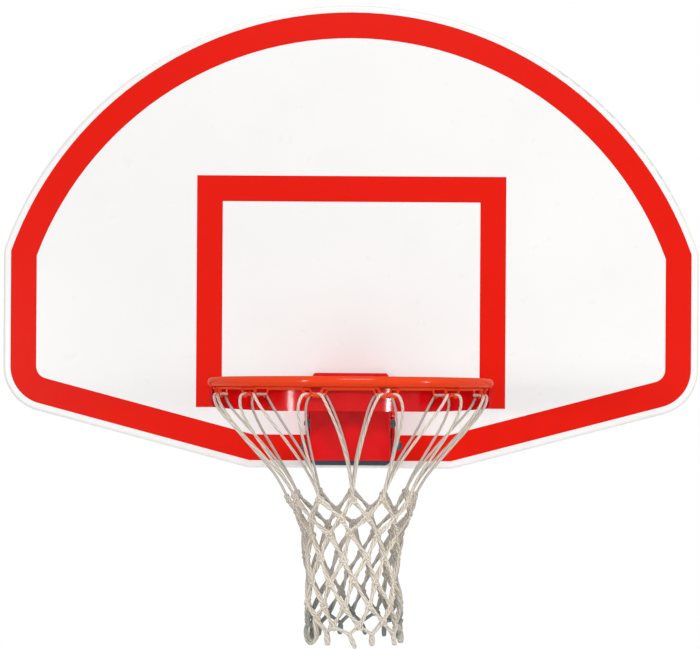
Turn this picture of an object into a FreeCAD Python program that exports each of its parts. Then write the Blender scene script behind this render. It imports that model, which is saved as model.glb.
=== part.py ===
import FreeCAD, Part
import math
import os
import Sketcher
from FreeCAD import Vector

# Fan-shaped steel basketball backboard with a hinged, spring-loaded goal and a twelve-loop net.
# Frame: X to the right seen from the court, the court lies towards -Y, Z up.
# Origin: centre of the rear mounting holes, on the plane where the stiffeners meet a post's arms.

# Driving sizes in millimetres, angles in degrees. A "drop" is a depth below the rod's centre plane,
# a "reach" a distance in front of the painted face, a "height" one above the board's bottom edge.
SIZES = {
    # Steel pan
    "board_width": 1372.0,
    "board_height": 914.0,
    "board_depth": 38.0,
    "board_sheet": 2.7,
    "arc_overrun": 41.0,
    "base_width": 402.0,
    "edge_slope": 14.8,
    "corner_radius": 91.0,
    "shoulder_radius": 60.0,
    "base_radius": 60.0,
    "face_edge_radius": 6.0,
    # Painted stripes, the target's lower edge measured down from the rod's plane
    "paint_thickness": 0.3,
    "paint_margin": 15.0,
    "stripe_width": 50.8,
    "stripe_outer_radius": 76.0,
    "stripe_inner_radius": 25.0,
    "target_width": 609.6,
    "target_height": 457.2,
    "target_bottom": 46.0,
    # Stiffeners and rear mounting holes
    "mount_height": 433.0,
    "mount_across": 508.0,
    "mount_up": 406.4,
    "mount_hole_radius": 5.5,
    "stiffener_crown": 64.0,
    "stiffener_flange": 22.0,
    "stiffener_sheet": 2.5,
    "stiffener_bend_radius": 2.0,
    "stiffener_bottom": 44.0,
    "stiffener_length": 750.0,
    "crossbar_height": 690.0,
    "end_gap": 0.5,
    # Channel behind the goal, its lower edge measured down from the lower bolts
    "channel_bottom": 36.0,
    "channel_height": 190.0,
    "channel_depth": 30.0,
    "channel_sheet": 4.0,
    # Hexagon fasteners of the goal and of the rear holes
    "bolt_radius": 5.0,
    "bolt_clearance": 0.5,
    "thread_clearance": 0.1,
    "bolt_flats": 16.0,
    "bolt_head": 6.4,
    "bolt_tail": 3.0,
    "nut_height": 9.0,
    "washer_radius": 10.5,
    "washer_thickness": 1.6,
    # Fixed bracket of the goal
    "ring_height": 165.0,
    "goal_across": 101.6,
    "goal_up": 127.0,
    "goal_hole_rise": 6.0,
    "back_plate_width": 160.0,
    "back_plate_rise": 20.0,
    "back_plate_drop": 159.0,
    "back_plate_thickness": 4.0,
    "back_plate_radius": 14.0,
    "bracket_width": 172.0,
    "bracket_rise": 18.0,
    "bracket_drop": 145.0,
    "bracket_thickness": 6.0,
    "ear_reach": 66.0,
    "ear_top_drop": 51.0,
    "ear_radius": 16.0,
    "bracket_corner_radius": 20.0,
    # Hinge across the goal
    "hinge_drop": 118.0,
    "hinge_boss_radius": 21.0,
    "hinge_bolt_radius": 6.0,
    "hinge_flats": 18.0,
    "hinge_head": 7.5,
    "hinge_nut": 10.0,
    "sleeve_radius": 10.0,
    "running_clearance": 0.3,
    "thrust_washer_radius": 17.0,
    # Ring carrier that swings on the hinge
    "carrier_width": 148.0,
    "carrier_rise": 22.5,
    "carrier_drop": 97.0,
    "carrier_thickness": 8.0,
    "carrier_chamfer": 4.0,
    "access_radius": 11.5,
    "slot_radius": 7.8,
    "slot_length": 11.0,
    "arm_drop": 4.0,
    "arm_thickness": 8.0,
    "cheek_thickness": 6.0,
    "cheek_tip_drop": 36.0,
    "cheek_toe_radius": 10.0,
    "weld_gap": 0.2,
    # Front cover of the carrier
    "cover_reach": 108.0,
    "cover_top_drop": 47.0,
    "cover_drop": 145.0,
    "cover_sheet": 2.5,
    "cover_bend_radius": 2.0,
    "cover_flange": 42.0,
    "cover_gap": 2.0,
    "cover_bolt_reach": 88.0,
    "cover_bolt_drop": 75.0,
    # Spring stack above the hinge
    "spring_drop": 69.0,
    "stud_radius": 7.0,
    "stud_tail": 3.0,
    "seat_bore_radius": 13.5,
    "seat_radius": 24.0,
    "seat_thickness": 3.0,
    "spring_length": 62.0,
    "spring_radius": 19.0,
    "spring_wire_radius": 3.0,
    "spring_turns": 3.5,
    "spring_end_gap": 0.6,
    "spring_washer_thickness": 4.0,
    "spring_nut_flats": 21.0,
    "spring_nut_height": 12.0,
    # Ring, its rear strap and the net wire
    "ring_reach": 381.0,
    "ring_inside_radius": 228.6,
    "rod_radius": 8.0,
    "strap_radius": 238.0,
    "strap_thickness": 5.0,
    "strap_height": 43.0,
    "strap_angle": 180.0,
    "strap_taper_rise": 10.0,
    "strap_taper_reach": 200.0,
    "strap_end_radius": 12.0,
    "wire_radius": 2.2,
    "hook_circle_radius": 231.0,
    "hook_shoulder": 17.0,
    "hook_half_width": 11.0,
    "hook_depth": 16.5,
    "hook_hump_depth": 7.5,
    "hook_bend_radius": 4.0,
    "hook_lead": 6.0,
    # Net
    "net_cord": 6.0,
    "net_hook_gap": 0.5,
    "net_top_drop": 21.0,
    "net_knot_drop": 197.0,
    "net_row_step": 33.5,
    "net_throat_radius": 80.0,
    "net_taper_length": 133.0,
}
HOOKS = 12
NET_ROWS = 8
STRAND_SPANS = 3
HEX_CORNERS = 6
NEAR = 0.001


class Size:
    """A number that remembers the spreadsheet expression it comes from."""

    def __init__(self, value, text):
        self.value = float(value)
        self.text = text

    def __add__(self, other):
        return joined(self, "+", other)

    def __radd__(self, other):
        return joined(other, "+", self)

    def __sub__(self, other):
        return joined(self, "-", other)

    def __rsub__(self, other):
        return joined(other, "-", self)

    def __mul__(self, other):
        return joined(self, "*", other)

    def __rmul__(self, other):
        return joined(other, "*", self)

    def __truediv__(self, other):
        return joined(self, "/", other)

    def __neg__(self):
        return Size(-self.value, "(-%s)" % self.text)


def size_of(number):
    """Any number as a Size."""
    return number if isinstance(number, Size) else Size(number, repr(float(number)))


def joined(left, sign, right):
    """The Size of one sum, difference, product or quotient."""
    a = size_of(left)
    b = size_of(right)
    values = {"+": a.value + b.value, "-": a.value - b.value, "*": a.value * b.value}
    value = a.value / b.value if sign == "/" else values[sign]
    return Size(value, "(%s %s %s)" % (a.text, sign, b.text))


def root(size):
    """The square root of a Size."""
    return Size(math.sqrt(size.value), "sqrt(%s)" % size.text)


def tangent(angle):
    """The tangent of an angle in degrees."""
    return Size(math.tan(math.radians(angle.value)), "tan(%s * 1 deg)" % angle.text)


def cosine(angle):
    """The cosine of an angle in degrees."""
    return Size(math.cos(math.radians(angle.value)), "cos(%s * 1 deg)" % angle.text)


def named(name):
    """A driving size, by its name in the sheet."""
    return Size(SIZES[name], "Sizes." + name)


doc = FreeCAD.newDocument("backboard")


def fill_sheet():
    """Writes the driving sizes into the document's spreadsheet."""
    sheet = doc.addObject("Spreadsheet::Sheet", "Sizes")
    for row, (name, value) in enumerate(SIZES.items(), start=1):
        sheet.set("A%d" % row, name)
        sheet.set("B%d" % row, repr(value))
        sheet.setAlias("B%d" % row, name)
    doc.recompute()


class Derived:
    """Sizes that several pieces share, each worked out once from the driving ones."""

    def __init__(self):
        self.arc_radius = named("board_width") / 2 + named("arc_overrun")
        self.arc_height = named("board_height") - self.arc_radius
        self.panel_inside = named("board_depth") - named("board_sheet")
        self.datum_y = -(named("board_depth") + named("paint_thickness"))
        self.datum_z = named("ring_height") - named("mount_height")
        self.ring_y = self.datum_y - named("ring_reach")
        self.bracket_seat = named("back_plate_thickness")
        self.bolt_seat = self.bracket_seat + named("bracket_thickness")
        self.carrier_front = self.bolt_seat + named("carrier_thickness")
        self.hinge_reach = self.carrier_front + named("hinge_boss_radius")
        self.ear_inside = named("bracket_width") / 2 - named("bracket_thickness")
        self.cheek_outside = named("carrier_width") / 2
        self.cheek_inside = self.cheek_outside - named("cheek_thickness")
        self.cover_outside = self.cheek_outside + named("cover_sheet")
        self.nut_seat = named("paint_thickness") + named("board_sheet") + named("channel_sheet")
        self.goal_hole = named("bolt_radius") + named("bolt_clearance")
        self.arm_bottom = named("arm_drop") + named("arm_thickness")
        self.rod_circle = named("ring_inside_radius") + named("rod_radius")
        self.spring_start = self.carrier_front + named("seat_thickness")
        self.spring_end = self.spring_start + named("spring_length")
        self.spring_nut_seat = self.spring_end + named("spring_washer_thickness")
        loop_seat = named("hook_circle_radius") - named("wire_radius") - named("net_hook_gap")
        loop_half = named("hook_half_width") + named("net_cord") / 2
        self.net_hook_radius = root(loop_seat * loop_seat + loop_half * loop_half) - named("net_cord") / 2


def set_place(obj, y, z):
    """Ties an object's place in the part's frame to the sheet."""
    obj.setExpression("Placement.Base.y", size_of(y).text)
    obj.setExpression("Placement.Base.z", size_of(z).text)


def new_body(label, y, z):
    """An empty body under its node's name, at the datum that its sketches measure from."""
    body = doc.addObject("PartDesign::Body", label)
    body.Label = label
    body.AllowCompound = True
    set_place(body, y, z)
    return body


def board_body(label):
    """A body measured from the rear plane and the board's bottom edge."""
    return new_body(label, 0.0, -named("mount_height"))


def goal_body(label):
    """A body measured from the painted face and the rod's centre plane."""
    return new_body(label, shared.datum_y, shared.datum_z)


def sketch_on(body, plane, offset=0.0):
    """A sketch on XY, XZ or YZ of its body, moved along the plane's normal (+Z, -Y or +X)."""
    sketch = body.newObject("Sketcher::SketchObject", body.Label + "_sketch")
    support = [o for o in body.Origin.OriginFeatures if o.Role == plane + "_Plane"][0]
    sketch.AttachmentSupport = [(support, "")]
    sketch.MapMode = "FlatFace"
    sketch.setExpression("AttachmentOffset.Base.z", size_of(offset).text)
    return sketch


def fix_distance(sketch, kind, element, point, number):
    """Dimensions one point of a sketch from its origin, along one axis."""
    index = sketch.addConstraint(Sketcher.Constraint(kind, -1, 1, element, point, number.value))
    sketch.setExpression("Constraints[%d]" % index, number.text)


def fix_point(sketch, element, point, x, y):
    """Dimensions one point of a sketch from its origin, along both axes."""
    fix_distance(sketch, "DistanceX", element, point, size_of(x))
    fix_distance(sketch, "DistanceY", element, point, size_of(y))


def fix_radius(sketch, element, radius):
    """Dimensions the radius of a circle or an arc."""
    index = sketch.addConstraint(Sketcher.Constraint("Radius", element, radius.value))
    sketch.setExpression("Constraints[%d]" % index, radius.text)


def flat(x, y):
    """A sketch point as a vector."""
    return Vector(size_of(x).value, size_of(y).value, 0)


def arc_between(start, end, centre, radius):
    """The arc that runs anticlockwise round its centre from start to end."""
    angles = []
    for point in (start, end):
        arm = point - centre
        angles.append(math.atan2(arm.y, arm.x))
    if angles[1] <= angles[0]:
        angles[1] += 2 * math.pi
    return Part.ArcOfCircle(Part.Circle(centre, Vector(0, 0, 1), radius), angles[0], angles[1])


def outline(sketch, corners, arcs=None):
    """A closed loop through the corners. arcs gives centre and radius of each side that is an arc.

    An arc's chord is level in the sketch, so its ends and its centre's height settle it.
    """
    arcs = arcs or {}
    first = sketch.GeometryCount
    count = len(corners)
    for side, corner in enumerate(corners):
        start = flat(*corner)
        end = flat(*corners[(side + 1) % count])
        if side in arcs:
            centre_x, centre_y, radius = arcs[side]
            curve = arc_between(start, end, flat(centre_x, centre_y), radius.value)
        else:
            curve = Part.LineSegment(start, end)
        sketch.addGeometry(curve, False)
    for side in range(count):
        after = first + (side + 1) % count
        sketch.addConstraint(Sketcher.Constraint("Coincident", first + side, 2, after, 1))
    for side, corner in enumerate(corners):
        fix_point(sketch, first + side, 1, *corner)
        if side in arcs:
            fix_distance(sketch, "DistanceY", first + side, 3, arcs[side][1])


def circle(sketch, x, y, radius):
    """A dimensioned circle."""
    element = sketch.addGeometry(Part.Circle(flat(x, y), Vector(0, 0, 1), radius.value), False)
    fix_point(sketch, element, 3, x, y)
    fix_radius(sketch, element, radius)


def rectangle(sketch, left, right, low, high):
    """A dimensioned rectangle."""
    outline(sketch, [(left, low), (right, low), (right, high), (left, high)])


def hexagon(sketch, x, y, flats):
    """A nut's or bolt head's hexagon with its corners up and down."""
    reach = flats / math.sqrt(3)
    corners = []
    for corner in range(HEX_CORNERS):
        angle = math.pi / 2 + corner * 2 * math.pi / HEX_CORNERS
        corners.append((x + reach * math.cos(angle), y + reach * math.sin(angle)))
    outline(sketch, corners)


def pad(body, sketch, length):
    """Extrudes a sketch along its plane's normal and joins it to the body."""
    feature = body.newObject("PartDesign::Pad", body.Label + "_pad")
    feature.Profile = sketch
    feature.setExpression("Length", size_of(length).text)
    body.Tip = feature
    doc.recompute()


def cut_through(body, sketch, along_normal):
    """Cuts a sketch right through the body, and stops if nothing was cut."""
    before = body.Shape.Volume
    feature = body.newObject("PartDesign::Pocket", body.Label + "_holes")
    feature.Profile = sketch
    feature.Type = "ThroughAll"
    feature.Reversed = along_normal
    body.Tip = feature
    doc.recompute()
    if body.Shape.Volume >= before:
        raise ValueError("the holes of %s cut nothing" % body.Label)


def lies_at(edge, place):
    """Whether every end of an edge has the given coordinates."""
    for vertex in edge.Vertexes:
        for axis, number in place.items():
            if abs(getattr(vertex.Point, axis) - size_of(number).value) > NEAR:
                return False
    return True


def edges_at(feature, places):
    """Names of a feature's edges that lie at one of the places."""
    found = []
    for number, edge in enumerate(feature.Shape.Edges, start=1):
        if any(lies_at(edge, place) for place in places):
            found.append("Edge%d" % number)
    if not found:
        raise ValueError("%s has no edge to round there" % feature.Label)
    return found


def round_edges(body, radius, places):
    """Rounds the edges that lie at the given places."""
    base = body.Tip
    feature = body.newObject("PartDesign::Fillet", body.Label + "_round")
    feature.Base = (base, edges_at(base, places))
    feature.setExpression("Radius", radius.text)
    body.Tip = feature
    doc.recompute()


def fan_right(inset):
    """Right-hand corners of the board's fan-shaped outline, moved inwards by a distance."""
    half = named("board_width") / 2 - inset
    slope = named("edge_slope")
    base_half = named("base_width") / 2
    foot = base_half - inset * tangent(slope / 2)
    corner_z = (half - base_half) * tangent(slope) + inset / cosine(slope)
    radius = shared.arc_radius - inset
    shoulder_z = shared.arc_height + root(radius * radius - half * half)
    return {"foot": (foot, inset), "corner": (half, corner_z), "shoulder": (half, shoulder_z)}


def fan_outline(sketch, inset):
    """Draws the fan: level foot, sloped lower edges, upright sides and one arc over the top."""
    right = fan_right(inset)
    left = {name: (-x, z) for name, (x, z) in right.items()}
    corners = [left["foot"], right["foot"], right["corner"], right["shoulder"]]
    corners += [left["shoulder"], left["corner"]]
    over_the_top = corners.index(right["shoulder"])
    outline(sketch, corners, {over_the_top: (size_of(0.0), shared.arc_height, shared.arc_radius - inset)})


def fan_places(inset, name):
    """Places of the two depth-wise edges at a corner of the fan, left and right."""
    x, z = fan_right(inset)[name]
    return [{"x": -x, "z": z}, {"x": x, "z": z}]


def goal_holes(height):
    """Centres of the goal's four bolts, with the height that the rod's plane has in the sketch."""
    half = named("goal_across") / 2
    top = height + named("goal_hole_rise")
    low = top - named("goal_up")
    return [(-half, low), (half, low), (half, top), (-half, top)]


def mount_holes():
    """Centres of the four rear mounting holes, above the board's bottom edge."""
    half = named("mount_across") / 2
    low = named("mount_height") - named("mount_up") / 2
    top = named("mount_height") + named("mount_up") / 2
    return [(-half, low), (half, low), (half, top), (-half, top)]


def make_face_panel():
    """The pressed steel pan: a flat face with a flange turned back all round."""
    body = board_body("face_panel")
    nothing = size_of(0.0)
    sketch = sketch_on(body, "XZ")
    fan_outline(sketch, nothing)
    pad(body, sketch, named("board_depth"))
    round_edges(body, named("corner_radius"), fan_places(nothing, "corner"))
    round_edges(body, named("shoulder_radius"), fan_places(nothing, "shoulder"))
    round_edges(body, named("base_radius"), fan_places(nothing, "foot"))
    round_edges(body, named("face_edge_radius"), [{"y": -named("board_depth")}])
    solid = body.Tip
    open_faces = []
    for number, face in enumerate(solid.Shape.Faces, start=1):
        if all(lies_at(edge, {"y": 0.0}) for edge in face.Edges):
            open_faces.append("Face%d" % number)
    shell = body.newObject("PartDesign::Thickness", "face_panel_shell")
    shell.Base = (solid, open_faces)
    shell.setExpression("Value", "Sizes.board_sheet")
    shell.Reversed = True
    body.Tip = shell
    doc.recompute()
    holes = sketch_on(body, "XZ")
    for x, z in goal_holes(named("ring_height")):
        circle(holes, x, z, shared.goal_hole)
    cut_through(body, holes, True)
    return body


def drill_paint(body, low, high):
    """Cuts the goal's bolt holes out of a level painted band, where the bolts pass through it."""
    radius = shared.goal_hole.value
    met = []
    for x, z in goal_holes(named("ring_height")):
        if z.value + radius > low.value and z.value - radius < high.value:
            met.append((x, z))
    if met:
        holes = sketch_on(body, "XZ", named("board_depth") + named("paint_thickness"))
        for x, z in met:
            circle(holes, x, z, shared.goal_hole)
        cut_through(body, holes, False)


def make_border_stripe():
    """The painted stripe that follows the board's edge."""
    body = board_body("border_stripe")
    outer = named("paint_margin")
    inner = named("paint_margin") + named("stripe_width")
    sketch = sketch_on(body, "XZ", named("board_depth"))
    fan_outline(sketch, outer)
    fan_outline(sketch, inner)
    pad(body, sketch, named("paint_thickness"))
    round_edges(body, named("stripe_outer_radius"), fan_places(outer, "corner"))
    round_edges(body, named("stripe_inner_radius"), fan_places(inner, "corner"))
    drill_paint(body, outer, inner)
    return body


def make_target_stripe():
    """The painted rectangle above the ring."""
    body = board_body("target_stripe")
    half = named("target_width") / 2
    width = named("stripe_width")
    low = named("ring_height") - named("target_bottom")
    high = low + named("target_height")
    sketch = sketch_on(body, "XZ", named("board_depth"))
    rectangle(sketch, -half, half, low, high)
    rectangle(sketch, width - half, half - width, low + width, high - width)
    pad(body, sketch, named("paint_thickness"))
    drill_paint(body, low, low + width)
    return body


def hat_section(middle):
    """Corners of a hat channel as (along the face, depth): flanges on the pan, crown at the rear plane."""
    half = named("stiffener_crown") / 2
    wide = half + named("stiffener_flange")
    sheet = named("stiffener_sheet")
    front = -shared.panel_inside
    crown = size_of(0.0)
    right = [(half, crown), (half, front + sheet), (wide, front + sheet), (wide, front)]
    right += [(half - sheet, front), (half - sheet, crown - sheet)]
    corners = [(middle + along, depth) for along, depth in right]
    corners += [(middle - along, depth) for along, depth in reversed(right)]
    return corners


def make_stiffener(label, side):
    """An upright hat channel on the back of the pan, with two mounting holes in its crown."""
    body = board_body(label)
    middle = side * named("mount_across") / 2
    half = named("stiffener_crown") / 2
    sketch = sketch_on(body, "XY", named("stiffener_bottom"))
    outline(sketch, hat_section(middle))
    pad(body, sketch, named("stiffener_length"))
    round_edges(body, named("stiffener_bend_radius"), [{"x": middle + s * half, "y": 0.0} for s in (-1, 1)])
    holes = sketch_on(body, "XZ")
    for x, z in mount_holes():
        if x.value * side > 0:
            circle(holes, x, z, named("mount_hole_radius"))
    before = body.Shape.Volume
    feature = body.newObject("PartDesign::Pocket", label + "_holes")
    feature.Profile = holes
    feature.setExpression("Length", (named("stiffener_sheet") * 2).text)
    feature.Reversed = True
    body.Tip = feature
    doc.recompute()
    if body.Shape.Volume >= before:
        raise ValueError("the holes of %s cut nothing" % label)
    return body


def crossbar_half():
    """Half the length that fits between the upright stiffeners."""
    hat = named("stiffener_crown") / 2 + named("stiffener_flange")
    return named("mount_across") / 2 - hat - named("end_gap")


def make_upper_crossbar():
    """The level hat channel between the uprights, behind the middle of the board."""
    body = board_body("upper_crossbar")
    height = named("crossbar_height")
    half = named("stiffener_crown") / 2
    sketch = sketch_on(body, "YZ", -crossbar_half())
    outline(sketch, [(depth, along) for along, depth in hat_section(height)])
    pad(body, sketch, crossbar_half() * 2)
    round_edges(body, named("stiffener_bend_radius"), [{"z": height + s * half, "y": 0.0} for s in (-1, 1)])
    return body


def make_goal_channel():
    """The channel behind the goal that spreads its load between the uprights."""
    body = board_body("goal_channel")
    sheet = named("channel_sheet")
    front = -shared.panel_inside
    web = front + sheet
    rear = front + named("channel_depth")
    low = goal_holes(named("ring_height"))[0][1] - named("channel_bottom")
    high = low + named("channel_height")
    sketch = sketch_on(body, "YZ", -crossbar_half())
    lower = [(front, low), (rear, low), (rear, low + sheet), (web, low + sheet)]
    upper = [(web, high - sheet), (rear, high - sheet), (rear, high), (front, high)]
    outline(sketch, lower + upper)
    pad(body, sketch, crossbar_half() * 2)
    holes = sketch_on(body, "XZ")
    for x, z in goal_holes(named("ring_height")):
        circle(holes, x, z, shared.goal_hole)
    cut_through(body, holes, True)
    return body


def make_weld_nuts():
    """Nuts welded inside the uprights behind the mounting holes."""
    body = board_body("weld_nuts")
    sketch = sketch_on(body, "XZ", named("stiffener_sheet"))
    for x, z in mount_holes():
        hexagon(sketch, x, z, named("bolt_flats"))
        circle(sketch, x, z, named("bolt_radius"))
    pad(body, sketch, named("nut_height"))
    return body


def make_goal_bolts():
    """Four hexagon bolts that clamp the goal to the board."""
    body = goal_body("goal_bolts")
    head_seat = shared.bolt_seat + named("washer_thickness")
    rear = shared.nut_seat + named("washer_thickness") + named("nut_height") + named("bolt_tail")
    heads = sketch_on(body, "XZ", head_seat)
    shanks = sketch_on(body, "XZ", -rear)
    for x, z in goal_holes(size_of(0.0)):
        hexagon(heads, x, z, named("bolt_flats"))
        circle(shanks, x, z, named("bolt_radius"))
    pad(body, heads, named("bolt_head"))
    pad(body, shanks, rear + head_seat)
    return body


def make_goal_washers():
    """Washers under the goal bolts' heads and nuts."""
    body = goal_body("goal_washers")
    rear_offset = -(shared.nut_seat + named("washer_thickness"))
    for offset in (shared.bolt_seat, rear_offset):
        sketch = sketch_on(body, "XZ", offset)
        for x, z in goal_holes(size_of(0.0)):
            circle(sketch, x, z, named("washer_radius"))
            circle(sketch, x, z, named("bolt_radius") + named("thread_clearance"))
        pad(body, sketch, named("washer_thickness"))
    return body


def make_goal_nuts():
    """Nuts of the goal bolts, inside the goal channel."""
    body = goal_body("goal_nuts")
    height = named("nut_height")
    sketch = sketch_on(body, "XZ", -(shared.nut_seat + named("washer_thickness") + height))
    for x, z in goal_holes(size_of(0.0)):
        hexagon(sketch, x, z, named("bolt_flats"))
        circle(sketch, x, z, named("bolt_radius") + named("thread_clearance"))
    pad(body, sketch, height)
    return body


def make_back_plate():
    """The plate between the goal and the board, a little longer than the bracket on it."""
    body = goal_body("back_plate")
    half = named("back_plate_width") / 2
    low = -named("back_plate_drop")
    high = named("back_plate_rise")
    sketch = sketch_on(body, "XZ")
    rectangle(sketch, -half, half, low, high)
    for x, z in goal_holes(size_of(0.0)):
        circle(sketch, x, z, shared.goal_hole)
    pad(body, sketch, named("back_plate_thickness"))
    corners = [{"x": x, "z": z} for x in (-half, half) for z in (low, high)]
    round_edges(body, named("back_plate_radius"), corners)
    return body


def make_hinge_bracket():
    """The fixed bracket: a web on the back plate and two ears that hold the hinge bolt."""
    body = goal_body("hinge_bracket")
    half = named("bracket_width") / 2
    low = -named("bracket_drop")
    ear_top = -named("ear_top_drop")
    web = sketch_on(body, "XZ", shared.bracket_seat)
    rectangle(web, -half, half, low, named("bracket_rise"))
    for x, z in goal_holes(size_of(0.0)):
        circle(web, x, z, shared.goal_hole)
    pad(body, web, named("bracket_thickness"))
    for offset in (shared.ear_inside, -half):
        ear = sketch_on(body, "YZ", offset)
        rectangle(ear, -named("ear_reach"), -shared.bracket_seat, low, ear_top)
        bore = named("hinge_bolt_radius") + named("running_clearance")
        circle(ear, -shared.hinge_reach, -named("hinge_drop"), bore)
        pad(body, ear, named("bracket_thickness"))
    tips = [{"y": -named("ear_reach"), "z": z} for z in (low, ear_top)]
    round_edges(body, named("ear_radius"), tips)
    tops = [{"x": x, "z": named("bracket_rise")} for x in (-half, half)]
    round_edges(body, named("bracket_corner_radius"), tops)
    return body


def sideways(offset, length, side):
    """Where a pad that stands outwards from a distance starts along +X, on the right or the left."""
    return offset if side > 0 else -(offset + length)


def make_hinge_bolt():
    """The long bolt through both ears, on which the carrier swings."""
    body = goal_body("hinge_bolt")
    seat = named("bracket_width") / 2 + named("washer_thickness")
    shank_end = seat + named("hinge_nut") + named("bolt_tail")
    y = -shared.hinge_reach
    z = -named("hinge_drop")
    head = sketch_on(body, "YZ", sideways(seat, named("hinge_head"), -1))
    hexagon(head, y, z, named("hinge_flats"))
    pad(body, head, named("hinge_head"))
    shank = sketch_on(body, "YZ", -seat)
    circle(shank, y, z, named("hinge_bolt_radius"))
    pad(body, shank, seat + shank_end)
    return body


def make_hinge_rings(label, outer, bore, offset, length):
    """Two rings round the hinge bolt, one on each side."""
    body = goal_body(label)
    for side in (-1, 1):
        sketch = sketch_on(body, "YZ", sideways(offset, length, side))
        circle(sketch, -shared.hinge_reach, -named("hinge_drop"), outer)
        circle(sketch, -shared.hinge_reach, -named("hinge_drop"), bore)
        pad(body, sketch, length)
    return body


def make_hinge_washers():
    """Washers between the ears and the hinge bolt's head and nut."""
    bore = named("hinge_bolt_radius") + named("thread_clearance")
    outside = named("bracket_width") / 2
    return make_hinge_rings("hinge_washers", named("washer_radius"), bore, outside, named("washer_thickness"))


def make_thrust_washers():
    """Spacers on the hinge sleeve that keep the carrier between the ears."""
    bore = named("sleeve_radius") + named("running_clearance")
    start = shared.cheek_outside + named("running_clearance")
    length = shared.ear_inside - start
    return make_hinge_rings("thrust_washers", named("thrust_washer_radius"), bore, start, length)


def make_hinge_nut():
    """The lock nut of the hinge bolt."""
    body = goal_body("hinge_nut")
    seat = named("bracket_width") / 2 + named("washer_thickness")
    sketch = sketch_on(body, "YZ", seat)
    hexagon(sketch, -shared.hinge_reach, -named("hinge_drop"), named("hinge_flats"))
    circle(
        sketch,
        -shared.hinge_reach,
        -named("hinge_drop"),
        named("hinge_bolt_radius") + named("thread_clearance"),
    )
    pad(body, sketch, named("hinge_nut"))
    return body


def make_hinge_sleeve():
    """The tube clamped between the ears, on which the cheeks turn."""
    body = goal_body("hinge_sleeve")
    sketch = sketch_on(body, "YZ", -shared.ear_inside)
    circle(sketch, -shared.hinge_reach, -named("hinge_drop"), named("sleeve_radius"))
    bore = named("hinge_bolt_radius") + named("thread_clearance")
    circle(sketch, -shared.hinge_reach, -named("hinge_drop"), bore)
    pad(body, sketch, shared.ear_inside * 2)
    return body


def make_carrier_plate():
    """The upright plate that rests on the bracket's web, with a slot for the spring stud."""
    body = goal_body("carrier_plate")
    half = named("carrier_width") / 2
    cut = named("carrier_chamfer")
    top = named("carrier_rise")
    low = -named("carrier_drop")
    sketch = sketch_on(body, "XZ", shared.bolt_seat)
    right = [(half, low), (half, top - cut), (half - cut, top)]
    outline(sketch, right + [(-x, z) for x, z in reversed(right)])
    for x, z in goal_holes(size_of(0.0))[2:]:
        circle(sketch, x, z, named("access_radius"))
    radius = named("slot_radius")
    slot_top = -named("spring_drop")
    slot_low = slot_top - named("slot_length")
    slot = [(radius, slot_top), (-radius, slot_top), (-radius, slot_low), (radius, slot_low)]
    middle = size_of(0.0)
    outline(sketch, slot, {0: (middle, slot_top, radius), 2: (middle, slot_low, radius)})
    pad(body, sketch, named("carrier_thickness"))
    return body


def make_arm_plate():
    """The level plate from the carrier to the back of the ring, hollowed to the ring's curve."""
    body = goal_body("arm_plate")
    half = named("carrier_width") / 2
    rod = named("rod_radius")
    drop = named("arm_drop")
    front_radius = shared.rod_circle + root(rod * rod - drop * drop) + named("weld_gap")
    front = root(front_radius * front_radius - half * half) - named("ring_reach")
    rear = -shared.carrier_front
    sketch = sketch_on(body, "XY", -shared.arm_bottom)
    corners = [(half, rear), (half, front), (-half, front), (-half, rear)]
    outline(sketch, corners, {1: (size_of(0.0), -named("ring_reach"), front_radius)})
    pad(body, sketch, named("arm_thickness"))
    return body


def make_cheek(label, side):
    """A side plate of the carrier: it hangs from the arm plate and turns on the hinge sleeve."""
    body = goal_body(label)
    strap = named("strap_radius") + named("strap_thickness") + named("weld_gap")
    tip = root(strap * strap - shared.cheek_inside * shared.cheek_inside) - named("ring_reach")
    rear = -shared.carrier_front
    top = -shared.arm_bottom
    front = -named("cover_reach")
    low = -(named("hinge_drop") + named("hinge_boss_radius"))
    sketch = sketch_on(body, "YZ", sideways(shared.cheek_inside, named("cheek_thickness"), side))
    corners = [(rear, top), (tip, top), (tip, -named("cheek_tip_drop"))]
    corners += [(front, named("cover_gap") - named("cover_top_drop")), (front, low), (rear, low)]
    outline(sketch, corners)
    bore = named("sleeve_radius") + named("running_clearance")
    circle(sketch, -shared.hinge_reach, -named("hinge_drop"), bore)
    circle(sketch, -named("cover_bolt_reach"), -named("cover_bolt_drop"), shared.goal_hole)
    pad(body, sketch, named("cheek_thickness"))
    round_edges(body, named("hinge_boss_radius"), [{"y": rear, "z": low}])
    round_edges(body, named("cheek_toe_radius"), [{"y": front, "z": low}])
    return body


def make_front_cover():
    """The bent sheet over the front of the carrier, plain where a label would sit."""
    body = goal_body("front_cover")
    inside = shared.cheek_outside
    outside = shared.cover_outside
    front = -named("cover_reach")
    face = front - named("cover_sheet")
    back = front + named("cover_flange")
    sketch = sketch_on(body, "XY", -named("cover_drop"))
    right = [(outside, face), (outside, back), (inside, back), (inside, front)]
    outline(sketch, right + [(-x, y) for x, y in reversed(right)])
    pad(body, sketch, named("cover_drop") - named("cover_top_drop"))
    bends = [{"x": x, "y": face} for x in (-outside, outside)]
    round_edges(body, named("cover_bend_radius"), bends)
    holes = sketch_on(body, "YZ", outside * 2)
    circle(holes, -named("cover_bolt_reach"), -named("cover_bolt_drop"), shared.goal_hole)
    cut_through(body, holes, False)
    return body


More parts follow.
